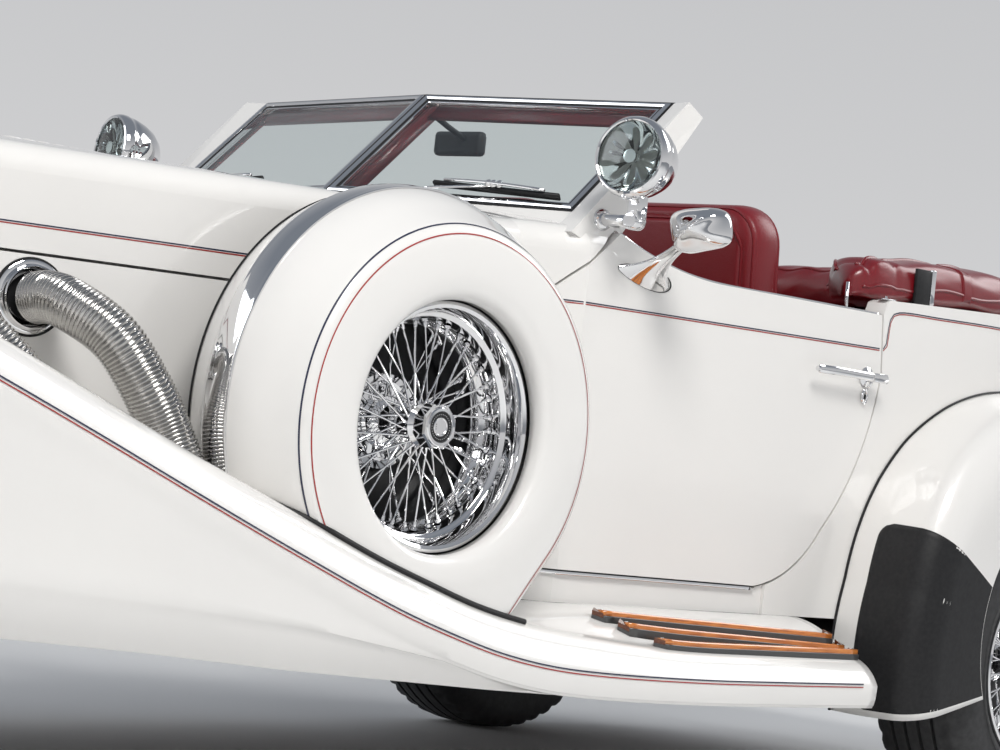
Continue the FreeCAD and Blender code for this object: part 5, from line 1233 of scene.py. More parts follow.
# Lamps: the spot lamps beside the screen and the headlamps on the bar. Profiles hold pairs of
# radius and place along the lamp, as shares of its radius or its length where the name says so.
spot = {"place": (-0.037, 0.748, 1.2385), "radius": 0.0755, "length": 0.118, "yaw": 11, "lift": 5,
        "foot": (-0.1, 0.63, 1.128)}
headlamp = {"place": (1.995, 0.385, 0.905), "radius": 0.112, "length": 0.215}
lampShape = {"lip": [(0.93, -0.004), (1.0, -0.01), (1.01, -0.018), (0.985, -0.024), (0.97, -0.026),
    (0.975, -0.032)], "shellShares": [(0.955, 0.35), (0.88, 0.52), (0.75, 0.7), (0.55, 0.85),
    (0.32, 0.95), (0.1, 0.995), (0.0, 1)], "rim": [(0.86, -0.006), (0.865, 0.0005), (0.895, 0.0025),
    (0.94, 0.001), (0.98, -0.004), (1.005, -0.011), (1.0, -0.014)],
    "lens": [(0.872, -0.004), (0.6, 0.003), (0.3, 0.0055), (0.0, 0.0065), (0.0, 0.004),
    (0.3, 0.003), (0.6, 0.0005), (0.868, -0.0065)], "bulbLengths": [(0.0, 0.12), (0.008, 0.15),
    (0.01, 0.22), (0.009, 0.34), (0.0, 0.42)], "shadeLengths": [(0.0, 0.085), (0.0125, 0.09),
    (0.013, 0.14), (0.0115, 0.14), (0.011, 0.1), (0, 0.095)],
    "screw": [(0, 0.006), (0.0035, 0.005), (0.0045, -0.004)], "reflector": 0.875, "flutes": 9,
    "fluteDepth": 0.0009}


def aim(yaw, lift):
    a, e = math.radians(yaw), math.radians(lift)
    return Vector((math.cos(e) * math.cos(a), math.cos(e) * math.sin(a), math.sin(e)))


def makeLamp(name, place, way, r, length):
    # A bullet lamp: shell, rim, fluted reflector, bulb with its shade, lens, screw and lug.
    side = way.cross(Vector((0, 0, 1))).normalized()
    rise = side.cross(way)

    def ofRadius(key):
        return [(r * share, along) for share, along in lampShape[key]]

    def ofLength(key, wide=1.0):
        return [(wide * radius, -length * share) for radius, share in lampShape[key]]
    wide, turns = lampShape["reflector"], turnsOf(96)
    rows = []
    for k in range(15):
        share = k / 14
        radius = r * (wide * (1 - share) + 0.1 * share)
        depth = -0.004 - length * 0.4 * (1 - (radius / (r * wide)) ** 2)
        row = []
        for turn in turns:
            flute = (lampShape["fluteDepth"] * math.cos(turn * lampShape["flutes"])
                * math.sin(math.pi * share))
            row.append(place + way * (depth + flute)
                + (side * math.cos(turn) + rise * math.sin(turn)) * radius)
        rows.append(row)
    low, high = (place + Vector(p) for p in ((-0.018, -0.005, -r * 1.06), (0.0, 0.005, -r * 0.93)))
    return [lathe(name + "Shell", ofRadius("lip") + ofLength("shellShares", r), place, way,
        "chrome", segments=72, smooth=35), lathe(name + "Rim", ofRadius("rim"), place, way,
        "chrome", segments=72, smooth=35), gridObject(name + "Reflector", rows, "chrome",
        closeColumns=True, smooth=60), lathe(name + "Bulb", ofLength("bulbLengths"), place, way,
        "whiteFace", segments=20), lathe(name + "Shade", ofLength("shadeLengths"), place, way,
        "chrome", segments=24), lathe(name + "Lens", ofRadius("lens"), place, way, "glass",
        segments=64), lathe(name + "Screw", lampShape["screw"],
        place - rise * (r * 0.99) + way * -0.006, way, "chrome", segments=12),
        boxPiece(name + "Lug", low, high, "chrome", bevel=0.001)]


def makeSpotLamp():
    way, place, start = aim(spot["yaw"], spot["lift"]), Vector(spot["place"]), Vector(spot["foot"])
    neckTop = place - way * 0.05 - Vector((0, 0, 0.07))
    end = neckTop + Vector((-0.002, 0.0, -0.042))
    parts = makeLamp("spotLamp", place, way, spot["radius"], spot["length"])
    parts += [boxPiece("spotNeck", neckTop + Vector((-0.013, -0.014, -0.04)),
        neckTop + Vector((0.013, 0.014, 0.01)), "chrome", bevel=0.004),
        lathe("spotClamp", [(0, 0.018), (0.014, 0.017), (0.0165, 0.012), (0.0165, -0.012),
        (0.014, -0.017), (0, -0.018)], neckTop + Vector((0, -0.004, -0.04)), (1, 0.1, 0), "chrome",
        segments=32), sweep("spotArm", [start, start + (end - start) * 0.25,
        start + (end - start) * 0.6, end], ovalProfile(0.0125, 0.0125, 20), "chrome",
        scales=[1.15, 1.0, 1.0, 1.05]), lathe("spotFoot", [(0.0, 0.01), (0.016, 0.009),
        (0.021, 0.004), (0.0225, -0.004)], start + Vector((0.002, 0.012, 0)), (0.35, 1, 0.35),
        "chrome", segments=36)]
    return join("spotLampLeft", parts)


def makeHeadlamp():
    place, radius, length = Vector(headlamp["place"]), headlamp["radius"], headlamp["length"]
    return join("headlampLeft", makeLamp("headlamp", place, aim(0, 0), radius, length))


for lampNode, makeOne in (("spot_lamps", makeSpotLamp), ("headlamps", makeHeadlamp)):
    lamp = makeOne()
    mirrored(lamp)
    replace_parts(lamp, lampNode)
print("lamps made")

# Door mirror: its outline in y and z, the head's middle, and growth and depth of its rings
mirrorSize = {"x": -0.19, "middle": (0.806, 1.122), "joint": (-0.181, 0.796, 1.11), "glass": 0.9,
    "ridge": 0.01, "outline": [(0.737, 1.143), (0.749, 1.156), (0.799, 1.164), (0.846, 1.163),
    (0.864, 1.151), (0.872, 1.107), (0.858, 1.096), (0.81, 1.085), (0.777, 1.08), (0.756, 1.085),
    (0.741, 1.115)], "head": [(0.9, -0.0135), (0.955, -0.014), (0.99, -0.011), (1.0, -0.004),
    (0.985, 0.006), (0.92, 0.016), (0.78, 0.026), (0.58, 0.034), (0.36, 0.0395), (0.16, 0.042),
    (0.0, 0.0425)], "foot": (-0.208, 1.0345), "footLength": 0.07, "footWidth": 0.0195,
    "footSlope": 0.13, "gasket": [(1.0, 0.0016), (1.05, 0.0016), (1.06, 0.0003)],
    "knob": [(0.0, 0.014), (0.008, 0.012), (0.0125, 0.004), (0.0125, -0.006), (0.0095, -0.012)]}


def mirrorFoot(turn, grow, out):
    footX, footZ = mirrorSize["foot"]
    along = mirrorSize["footLength"] * math.cos(turn) * grow
    wide = mirrorSize["footWidth"] * math.sin(turn) * (1.0 - 0.3 * math.cos(turn)) * grow
    px = footX + along
    return Vector((px, bodyPlan(px) + out, footZ + wide + mirrorSize["footSlope"] * along))


def makeDoorMirror():
    body, x, (cy, cz) = "door_left", mirrorSize["x"], mirrorSize["middle"]
    outline = smoothLine(mirrorSize["outline"], 72, closed=True)
    rows = []
    for grow, back in mirrorSize["head"]:
        row = []
        for y, z in outline:
            dy, dz = (y - cy) * grow, (z - cz) * grow
            # a ridge runs from the arm up to the outer top corner
            across = abs(dy * 0.62 - (dz + 0.01) * 0.78)
            wide, raised = mirrorSize["ridge"], 0.1 < grow < 0.95 and dy > -0.03
            ridge = wide * math.exp(-(across / wide) ** 2) if raised else 0
            row.append((x + back + ridge * 0.7, cy + dy, cz + dz))
        rows.append(row)
    parts = [gridObject("mirrorHead", rows, "chrome", body, closeColumns=True, smooth=50)]
    share = mirrorSize["glass"]
    parts.append(makeObject("mirrorGlass", [(x - 0.013, cy + (y - cy) * share,
        cz + (z - cz) * share) for y, z in outline], [tuple(range(72))], "chrome", body, smooth=0))
    joint, (footX, footZ) = Vector(mirrorSize["joint"]), mirrorSize["foot"]
    turns, rows = turnsOf(48), []
    for t in [k / 24 for k in range(25)]:
        ease = 1 - (1 - t) ** 3.6
        middle = Vector((footX + 0.004, bodyPlan(footX), footZ)).lerp(joint, t)
        row = []
        for turn in turns:
            ring = joint + Vector((math.cos(turn) * 0.0095, -0.006 * math.cos(turn),
                math.sin(turn) * 0.0085))
            spread = mirrorFoot(turn, 1.0, 0.0015) - Vector((footX, bodyPlan(footX), footZ))
            row.append(middle + (spread * (1 - ease) + (ring - joint) * ease))
        rows.append(row)
    gasket = [[mirrorFoot(turn, grow, out) for turn in turns] for grow, out in mirrorSize["gasket"]]
    parts += [gridObject("mirrorArm", rows, "chrome", body, closeColumns=True, smooth=50),
        lathe("mirrorJoint", mirrorSize["knob"], joint, (0.05, 0.55, 0.45), "chrome", body,
        segments=28), gridObject("mirrorGasket", gasket, "blackRubber", body, closeColumns=True)]
    return join("doorMirrorLeft", parts)


def makeHandle():
    body, out = "door_left", (0.04, 1, 0)
    bar = [(-0.7, 0.911, 0.03), (-0.76, 0.911, 0.032), (-0.86, 0.909, 0.034),
        (-0.908, 0.907, 0.034)]
    hook = [(-0.88, 0.903, 0.018), (-0.88, 0.892, 0.014), (-0.879, 0.885, 0.008)]
    ring = [(-0.8785 + 0.0072 * math.cos(turn), 0.869 + 0.0135 * math.sin(turn), 0.0042)
        for turn in turnsOf(36)]
    bar, hook, ring = ([onSide(*p) for p in line] for line in (bar, hook, ring))
    return join("doorHandleLeft", [sweep("handleBar", bar, ovalProfile(0.0035, 0.0085, 16),
        "chrome", body), boxPiece("handleBlock", onSide(-0.905, 0.899, 0.026),
        onSide(-0.862, 0.918, 0.04), "chrome", body, bevel=0.003),
        lathe("handleStalk", [(0.02, 0.0), (0.0205, 0.003), (0.016, 0.005), (0.0095, 0.008),
        (0.0085, 0.036), (0, 0.04)], onSide(-0.88, 0.909, 0.0005), out, "chrome", body,
        segments=32), tube("handleHook", hook, 0.0035, "chrome", body, count=8),
        tube("handleRing", ring, 0.003, "chrome", body, closed=True, count=8, up=(0, 1, 0)),
        lathe("handleLock", [(0.0052, 0.0), (0.0052, 0.003), (0.0, 0.0035)],
        onSide(-0.8785, 0.869, 0.0005), out, "blackRubber", body, segments=20),
        lathe("handleEnd", [(0, 0.004), (0.005, 0.003), (0.007, -0.002), (0.004, -0.006)],
        onSide(-0.697, 0.911, 0.03), (1, 0, 0), "chrome", body, segments=20)])


doorHandle, doorMirror = makeHandle(), makeDoorMirror()
mirrored(doorHandle, doorMirror)
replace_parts(doorHandle, "door_left_fittings", "door_right_fittings")

# Pinstripes along the side. "straight" holds the first x, the last x and the number of points.
sideLine = {"height": 0.968, "bodies": {"bonnet": "bonnet_left", "cowl": "root",
    "door": "door_left", "quarter": "root"}, "straight": {"bonnet": (1.735, 0.42, 40),
    "cowl": (0.4, 0.055, 12), "door": (0.036, -0.915, 40)},
    "quarter": [(-0.9265, 0.968), (-0.931, 0.969), (-0.9345, 0.972), (-0.936, 0.98), (-0.938, 1.01),
    (-0.941, 1.03), (-0.95, 1.042), (-0.97, 1.047), (-1.1, 1.049), (-1.35, 1.05), (-1.6, 1.036),
    (-1.85, 0.992), (-2.08, 0.902), (-2.25, 0.76)],
    # look, shift upward, width
    "stripes": {"Dark": ("stripeBlue", 0.0021, 0.0024), "Red": ("stripeRed", -0.0016, 0.0022)}}
doorTrim = {"strip": [(-0.004, -0.003), (0.004, -0.003), (0.005, 0.0), (0.004, 0.003),
    (-0.004, 0.003)], "stripZ": 0.474, "stripSlope": 0.0105, "stripEnds": (0.045, -0.61),
    "seal": [(-0.008, -0.0015), (0.008, -0.0015), (0.007, 0.0025), (-0.007, 0.0025)],
    "top": [(-0.137, 1.104), (-0.17, 1.0915), (-0.211, 1.078), (-0.266, 1.064), (-0.307, 1.0555),
    (-0.353, 1.049), (-0.42, 1.044), (-0.65, 1.0412), (-0.912, 1.038)]}


def beside(route, away):
    # The same line, moved sideways in its own plane.
    moved = []
    for k, (x, z) in enumerate(route):
        ahead, behind = route[min(k + 1, len(route) - 1)], route[max(k - 1, 0)]
        way = (Vector(ahead) - Vector(behind)).normalized()
        moved.append((x - way.y * away, z + way.x * away))
    return moved


def stripeRoute(name, shift):
    if name == "quarter":
        return smoothLine(beside(sideLine["quarter"], -shift), 90)
    first, last, count = sideLine["straight"][name]
    return [(x, sideLine["height"] + shift) for x in np.linspace(first, last, count)]


def sideStripes():
    for name, body in sideLine["bodies"].items():
        for suffix, (look, shift, width) in sideLine["stripes"].items():
            points, normals = zip(*[bodySide(x, z) for x, z in stripeRoute(name, shift)])
            mirrored(ribbon(name + suffix + "StripeLeft", points, normals, width, look, body))


def makeDoorTrim():
    # Bright strip below the door, and the seal on its top edge.
    first, last = doorTrim["stripEnds"]
    strip = [onSide(x, doorTrim["stripZ"] + doorTrim["stripSlope"] * (x - first), -0.005)
             for x in np.linspace(first, last, 40)]
    top = [onSide(x, z + 0.0012, -0.01) for x, z in smoothLine(doorTrim["top"], 70)]
    mirrored(sweep("sillStripLeft", strip, doorTrim["strip"], "chrome"))
    mirrored(sweep("doorTopSealLeft", top, doorTrim["seal"], "chrome", "door_left"))


sideStripes()
makeDoorTrim()
print("door fittings and stripes made")

# Seats and trim in red leather, modelled as stuffed pieces with piped seams
leather = {"inner": 0.06, "outer": 0.55, "piping": 0.0045, "seam": 0.003, "edge": 0.03,
    "panel": 0.03, "rake": -4, "back": (-0.714, 0.982), "cushion": (-0.392, 0.715),
    "rearBack": (-1.356, 0.93), "rearCushion": (-1.108, 0.715)}


def roundedRing(halfU, halfV, corner, count=144):
    # Rounded rectangle, evenly spaced, starting on the right side.
    corner = min(corner, halfU * 0.98, halfV * 0.98)
    line = []
    for signU, signV, start in ((1, 1, 0), (-1, 1, 90), (-1, -1, 180), (1, -1, 270)):
        for k in range(9):
            turn = math.radians(start + 90 * k / 8)
            line.append((signU * (halfU - corner) + corner * math.cos(turn),
                signV * (halfV - corner) + corner * math.sin(turn)))
    return spaceEvenly(line + line[:1], count, closed=True)


def stuffedPiece(name, centre, axes, half, depth, crown=0.022, pleat=0, corner=0.075):
    # axes: across, up and the way that the cushioned face looks. depth runs along the last one.
    across, up, out = (Vector(a) for a in axes)
    centre, (halfU, halfV), look = Vector(centre), half, "leatherRed"
    edge, panel, outline = leather["edge"], leather["panel"], roundedRing(halfU, halfV, corner)
    rows = []

    def ring(scaleU, scaleV, along, relief=lambda u, v: 0):
        scaled = [(u * scaleU, v * scaleV) for u, v in outline]
        return [centre + across * u + up * v + out * (along + relief(u, v)) for u, v in scaled]

    def face(u, v):
        reach = max(abs(u) / halfU, abs(v) / halfV)
        swell = (crown * max(0.0, 1 - (abs(u) / halfU) ** 2.6)
            * max(0.0, 1 - (abs(v) / halfV) ** 2.6))
        seam = -0.006 * math.exp(-(((1 - reach) * min(halfU, halfV) - panel) / 0.004) ** 2)
        if pleat and abs(u) < halfU - panel - 0.03 and abs(v) < halfV - panel - 0.03:
            swell -= 0.006 * math.exp(-((((u + 10 * pleat) % pleat) - pleat / 2) / 0.006) ** 2)
        return swell + seam
    front, quarter = depth / 2 - 0.002, [math.pi / 2 * k / 7 for k in range(8)]
    for k in range(27):
        share = max(1 - ((26 - k) / 26) ** 1.6 if k else 0.002, 0.002)
        rows.append(ring(share * (halfU - edge) / halfU, share * (halfV - edge) / halfV, front,
            face))
    for turn in quarter[1:]:
        inset = edge * (1 - math.sin(turn))
        rows.append(ring((halfU - inset) / halfU, (halfV - inset) / halfV,
            depth / 2 - edge * (1 - math.cos(turn)) - 0.002))
    for k in range(1, 7):
        bulge = 1 + 0.006 * math.sin(math.pi * (k / 7))
        rows.append(ring(bulge, bulge, (depth / 2 - edge) * (1 - 2 * (k / 7))))
    for turn in quarter:
        inset = edge * (1 - math.cos(turn))
        rows.append(ring((halfU - inset) / halfU, (halfV - inset) / halfV,
            -depth / 2 + edge * (1 - math.sin(turn))))
    for k in range(1, 6):
        share = 1 - k / 5 + 0.002
        rows.append(ring(share * (halfU - edge) / halfU, share * (halfV - edge) / halfV,
            -depth / 2 - 0.004 * (1 - share)))
    parts = [gridObject(name, rows, look, closeColumns=True, smooth=70)]
    for along in (depth / 2 - edge * 0.42 - 0.002, -depth / 2 + edge * 0.42):
        loop = [centre + across * (u * (halfU - 0.007) / halfU) + up * (v * (halfV - 0.007) / halfV)
            + out * along for u, v in outline]
        parts.append(tube(name + "Piping", loop, leather["piping"], look, up=out, closed=True,
            count=8))
    inset = [(u * (halfU - panel) / halfU, v * (halfV - panel) / halfV) for u, v in outline]
    loop = [centre + across * a + up * b + out * (depth / 2 + face(a, b) - 0.001) for a, b in inset]
    parts.append(tube(name + "Seam", loop, leather["seam"], look, up=out, closed=True, count=8))
    joined = join(name, parts)
    return joined


def makeSeats():
    middle = (leather["inner"] + leather["outer"]) / 2
    halfWide = (leather["outer"] - leather["inner"]) / 2
    rake = math.radians(leather["rake"])
    leaning = ((0, 1, 0), (-math.sin(rake), 0, math.cos(rake)), (math.cos(rake), 0, math.sin(rake)))
    upright, lying = ((0, 1, 0), (0, 0, 1), (1, 0, 0)), ((0, 1, 0), (1, 0, 0), (0, 0, 1))
    backs, cushions = [], []
    for y, side in ((middle, "Left"), (-middle, "Right")):
        (backX, backZ), (x, z) = leather["back"], leather["cushion"]
        backs.append(stuffedPiece("seatBack" + side, (backX, y, backZ), leaning, (halfWide, 0.246),
            0.102, crown=0.012))
        cushions.append(stuffedPiece("seatCushion" + side, (x, y, z), lying, (halfWide, 0.24), 0.12,
            crown=0.02, pleat=0.075))
        boxPiece("seatBase" + side, (-0.62, y - 0.22, 0.505), (-0.16, y + 0.22, 0.655), "carpet",
            bevel=0.012)
        for lift in (-0.215, 0.205):
            boxPiece("seatRail" + side, (-0.64, y + lift, 0.5035), (-0.14, y + lift + 0.012, 0.513),
                "chrome", bevel=0.001)
    for name, (x, z), axes, halfHigh, depth, crown in (
            ("rearSeatBack", leather["rearBack"], upright, 0.148, 0.1, 0.018),
            ("rearSeatCushion", leather["rearCushion"], lying, 0.18, 0.13, 0.022)):
        stuffedPiece(name, (x, 0, z), axes, (0.44, halfHigh), depth, crown=crown, pleat=0.088,
            corner=0.05)
    boxPiece("rearSeatBase", (-1.29, -0.43, 0.505), (-0.945, 0.43, 0.652), "carpet", bevel=0.01)
    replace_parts(backs[0], "seat_backs")
    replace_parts(cushions[0], "seat_cushions")


makeSeats()
print("seats made")

# Cover of the folded top: a stuffed roll round the rear seat, with piping and straps
topRoll = {"outer": [(-0.868, 0.64), (-0.93, 0.658), (-1.02, 0.664), (-1.14, 0.667), (-1.28, 0.667),
    (-1.42, 0.648), (-1.515, 0.57), (-1.55, 0.42), (-1.558, 0.21), (-1.56, 0.0)],
    "inner": [(-0.89, 0.585), (-0.95, 0.52), (-1.035, 0.455), (-1.13, 0.405), (-1.21, 0.36),
    (-1.28, 0.305), (-1.32, 0.24), (-1.345, 0.16), (-1.355, 0.08), (-1.358, 0.0)],
    "top": [1.128, 1.151, 1.16, 1.168, 1.173, 1.174, 1.173, 1.172, 1.172, 1.172], "base": 1.0715,
    # section: shares of the width from the outer edge, and of the height
    "section": [(0.07, 0.0), (0.005, 0.1), (-0.012, 0.3), (-0.006, 0.52), (0.01, 0.7),
    (0.035, 0.84), (0.075, 0.925), (0.16, 0.985), (0.3, 1.02), (0.5, 1.035), (0.7, 1.015),
    (0.84, 0.96), (0.925, 0.88), (0.97, 0.74), (0.995, 0.52), (0.985, 0.28), (0.94, 0.06),
    (0.9, 0.0)],
    # folds: place from the front end to the middle, width, depth
    "folds": [(0.055, 0.012, 0.012), (0.135, 0.01, 0.007), (0.345, 0.008, 0.007),
    (0.62, 0.01, 0.008)], "straps": (0.345, 0.62), "strapLift": 0.003, "strapOut": 0.0035,
    # column of the section and size of each piping
    "piping": [(27, 0.0042), (42, 0.004), (8, 0.003)], "steps": 240}


def rollRow(ox, oy, ix, iy, top, t, shape):
    mirrorT = min(t, 1 - t) * 2
    pinch = sum(depth * math.exp(-((mirrorT - place) / wide) ** 2)
        for place, wide, depth in topRoll["folds"])
    end = math.sqrt(max(0.0, 1 - (1 - min(1.0, mirrorT / 0.05)) ** 2))
    outer, inner = Vector((ox, oy, 0)), Vector((ix, iy, 0))
    centre = (outer + inner) / 2
    base = topRoll["base"] + (0.01 if ox < -1.25 else 0.01 * max(0.0, (-ox - 0.95) / 0.3))
    row = []
    for u, v in shape:
        wave = 0.0035 * math.sin(9 * mirrorT * math.pi + 5 * u)
        wave *= math.sin(math.pi * min(1, max(0, v)))
        wave += 0.002 * math.sin(37 * mirrorT + 11 * v)
        at = centre + (outer + (inner - outer) * u - centre) * (0.25 + 0.75 * end - pinch * 1.6)
        height = (top - base) * (0.55 + 0.45 * end) - pinch
        row.append(Vector((at.x, at.y, base + v * height + wave * (0.4 + 0.6 * end))))
    return row


def strapRow(rows, mark, raised):
    # A strap's edge lies in the roll's surface, and its face a little over it.
    low = int(math.floor(mark))
    lift, out = (topRoll["strapLift"], topRoll["strapOut"]) if raised else (-0.001, -0.001)
    row = []
    for j, (a, b) in enumerate(zip(rows[low], rows[low + 1])):
        aside = out * (1 if a.y > 0 else -1) * (1 if j < 22 else 0)
        row.append(a.lerp(b, mark - low) + Vector((0, 0, lift)) + Vector((0, aside, 0)))
    return row[4:52]


def makeTopRoll():
    steps, shape = topRoll["steps"], smoothLine(topRoll["section"], 64)
    half = [(*o, *i, t) for o, i, t in zip(topRoll["outer"], topRoll["inner"], topRoll["top"])]
    line = half + [(a, -b, c, -d, t) for a, b, c, d, t in reversed(half[:-1])]
    rows = [rollRow(*station, k / steps, shape)
            for k, station in enumerate(smoothLine(line, steps + 1))]
    parts = [cappedGrid("topRoll", rows, "vinylRed", smooth=80)]
    for column, size in topRoll["piping"]:
        parts.append(tube("topRollPiping", [row[column] for row in rows][4:-4], size, "vinylRed",
            count=8))
    for place in [int(share * steps / 2) for share in topRoll["straps"]]:
        for index in (place, steps - place):
            strap = [strapRow(rows, index + shift, abs(shift) < 1.3)
                for shift in (-1.4, -1.2, 1.2, 1.4)]
            parts.append(gridObject("topRollStrap", strap, "vinylRed", smooth=50))
    made = join("topRoll", parts)
    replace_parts(made, "soft_top_stack")


def makeTopFittings():
    parts = []
    for sign in (1, -1):
        for name, low, high, y, half, look, bevel in (
                ("topPost", (-1.092, 1.07), (-1.042, 1.148), 0.672, 0.004, "blackRubber", 0.002),
                ("topPostEdge", (-1.106, 1.07), (-1.092, 1.15), 0.673, 0.005, "chrome", 0.002),
                ("quarterPlate", (-0.958, 1.0705), (-0.922, 1.0735), 0.68, 0.011, "chrome", 0.001)):
            parts.append(boxPiece(name, (low[0], sign * y - half, low[1]),
                (high[0], sign * y + half, high[1]), look, bevel=bevel))
        pin = [(x, sign * 0.64, z) for x, z in ((-0.862, 0.985), (-0.86, 1.05), (-0.858, 1.098))]
        parts += [tube("topPin", pin, 0.0035, "chrome", count=10),
            lathe("quarterPin", [(0, 0.006), (0.003, 0.005), (0.004, 0.0)],
            (-0.931, sign * 0.684, 1.0732), (0, 0, 1), "chrome", segments=12)]
    join("topFittings", parts)


makeTopRoll()
makeTopFittings()
print("folded top made")

# Cockpit: dashboard, steering wheel, pedals, gear lever and door cards
dash = {"x": -0.06, "gauges": [(0.255, 0.05, 1.0), (0.405, 0.05, 1.0), (0.33, 0.03, 1.035),
    (0.12, 0.028, 1.01), (0.04, 0.028, 1.01), (-0.04, 0.028, 1.01), (-0.12, 0.028, 1.01)],
    "rim": [(1.0, 0.0), (1.04, 0.004), (1.0, 0.008), (0.9, 0.007), (0.88, 0.002)],
    "knobs": (0.16, 0.1, 0.04, -0.04, -0.1), "knobZ": 0.945,
    "knob": [(0.0, 0.022), (0.008, 0.021), (0.009, 0.014), (0.004, 0.012), (0.004, 0.0)],
    "gloveBox": [(-0.2, 0.925), (-0.5, 0.925), (-0.5, 1.045), (-0.2, 1.045)]}
steering = {"centre": (-0.3, 0.33, 0.985), "rake": 28, "radius": 0.178, "grip": 0.0118,
    "spokes": (90, 210, 330), "hub": [(0.0, 0.012), (0.016, 0.012), (0.03, 0.009), (0.037, 0.003),
    (0.038, -0.004), (0.036, -0.021), (0.01, -0.0215)], "ring": [(0.03, 0.0095), (0.033, 0.01),
    (0.0365, 0.006)], "bolt": [(0, 0.0125), (0.0028, 0.0125), (0.0032, 0.01)], "bolts": 6,
    "boltRadius": 0.0245}
cabin = {"pedals": [(0.4, 0.6), (0.31, 0.6), (0.22, 0.585)],
    "boot": [(0.0, 0.055), (0.012, 0.052), (0.022, 0.03), (0.034, 0.015), (0.048, 0.0)],
    "knob": [(0.0, 0.021), (0.012, 0.017), (0.019, 0.005), (0.018, -0.008), (0.008, -0.019),
    (0.0, -0.02)], "lever": [(-0.05, 0, 0.685), (-0.055, 0, 0.74), (-0.065, 0, 0.79)]}
doorCard = {"front": -0.02, "length": 0.86, "gap": 0.0312, "top": 1.028, "piping": (0.66, 0.9),
    "pull": [(-0.3, -0.3, 0.045, 0.86), (-0.32, -0.3, 0.066, 0.865), (-0.42, -0.4, 0.068, 0.865),
    (-0.44, -0.4, 0.047, 0.86)], "latch": [(0.0, 0.014), (0.012, 0.012), (0.014, 0.004),
    (0.016, 0.0)]}


def makeDashboard():
    x, back, parts = dash["x"], (-1, 0, 0), []
    for y, radius, z in dash["gauges"]:
        place = Vector((x, y, z))

        def onDial(turn, share, out):
            return place + Vector((-out, math.cos(turn) * radius * share,
                math.sin(turn) * radius * share))
        parts += [lathe("gaugeRim", [(radius * share, along) for share, along in dash["rim"]],
            place, back, "chrome", segments=48), lathe("gaugeFace",
            [(radius * 0.89, 0.003), (0, 0.003)], place, back, "blackRubber", segments=48)]
        for turn in [math.radians(-35 + 250 * k / 12) for k in range(13)]:
            parts.append(tube("gaugeMark", [onDial(turn, 0.7, 0.0036), onDial(turn, 0.82, 0.0036)],
                0.0008, "whiteFace", count=4))
        hand = [place + Vector((-0.0045, 0, 0)), onDial(math.radians(205), 0.66, 0.0045)]
        parts.append(tube("gaugeHand", hand, 0.001, "stripeRed", count=4))
    for y in dash["knobs"]:
        parts.append(lathe("dashKnob", dash["knob"], (x, y, dash["knobZ"]), back, "chrome",
            segments=20))
    parts += [tube("gloveBoxLine", [(x - 0.0015, y, z) for y, z in dash["gloveBox"]], 0.0012,
        "blackRubber", closed=True, count=6, up=(1, 0, 0)),
        lathe("gloveBoxLock", [(0.0, 0.01), (0.009, 0.009), (0.01, 0.0)], (x, -0.35, 1.02), back,
        "chrome", segments=20)]
    join("dashFittings", parts)
    line = [(-0.045, y, 1.082 - 0.004 * (y / 0.54) ** 2) for y in np.linspace(-0.56, 0.56, 29)]
    pad = sweep("dashPad", line, ovalProfile(0.022, 0.013, 20), "leatherRed")


def makeSteeringWheel():
    body, centre = "steering_wheel", Vector(steering["centre"])
    rake = math.radians(steering["rake"])
    axis, side = Vector((-math.cos(rake), 0, math.sin(rake))), Vector((0, 1, 0))
    rise = axis.cross(side)
    parts = [tube("steerRim", ringOf(centre, side, rise, steering["radius"], 96), steering["grip"],
        "wood", body, up=axis, closed=True, count=16)]
    for turn in [math.radians(t) for t in steering["spokes"]]:
        way = side * math.cos(turn) + rise * math.sin(turn)
        across, thick = axis.cross(way), axis * 0.0022
        rows = []
        for k in range(9):
            base, wide = centre + way * (0.03 + 0.142 * k / 8), across * (0.017 - 0.006 * k / 8)
            rows.append([base + wide + thick, base - wide + thick, base - wide - thick,
                base + wide - thick])
        parts.append(cappedGrid("steerSpoke", rows, "chrome", body, smooth=20))
        for k in range(3):
            parts.append(lathe("steerHole", [(0.0, 0.0028), (0.0055 - 0.001 * k, 0.0028),
                (0.0058 - 0.001 * k, 0.002)], centre + way * (0.07 + 0.03 * k), axis, "blackRubber",
                body, segments=16))
    parts += [lathe("steerHub", steering["hub"], centre, axis, "blackRubber", body, segments=48),
              lathe("steerHubRing", steering["ring"], centre, axis, "chrome", body, segments=48)]
    for k in range(steering["bolts"]):
        turn = math.radians(60 * k)
        place = centre + (side * math.cos(turn) + rise * math.sin(turn)) * steering["boltRadius"]
        parts.append(lathe("steerBolt", steering["bolt"], place, axis, "chrome", body, segments=8))
    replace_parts(join("steeringWheel", parts), "steering_wheel")


def makeCabin():
    for y, low in cabin["pedals"]:
        boxPiece("pedal", (0.205, y - 0.028, low), (0.215, y + 0.028, low + 0.075), "blackRubber",
            bevel=0.003)
        tube("pedalArm", [(0.212, y, low + 0.035), (0.26, y, low + 0.12), (0.3, y, low + 0.25)],
            0.006, "chassisBlack")
    boxPiece("tunnel", (-0.9, -0.05, 0.5035), (0.335, 0.05, 0.64), "carpet", bevel=0.03, segments=5)
    lathe("gearBoot", cabin["boot"], (-0.05, 0, 0.6385), (0, 0, 1), "leatherRed", segments=40)
    tube("gearLever", cabin["lever"], 0.005, "chrome")
    lathe("gearKnob", cabin["knob"], (-0.067, 0, 0.8), (-0.1, 0, 1), "wood", segments=32)


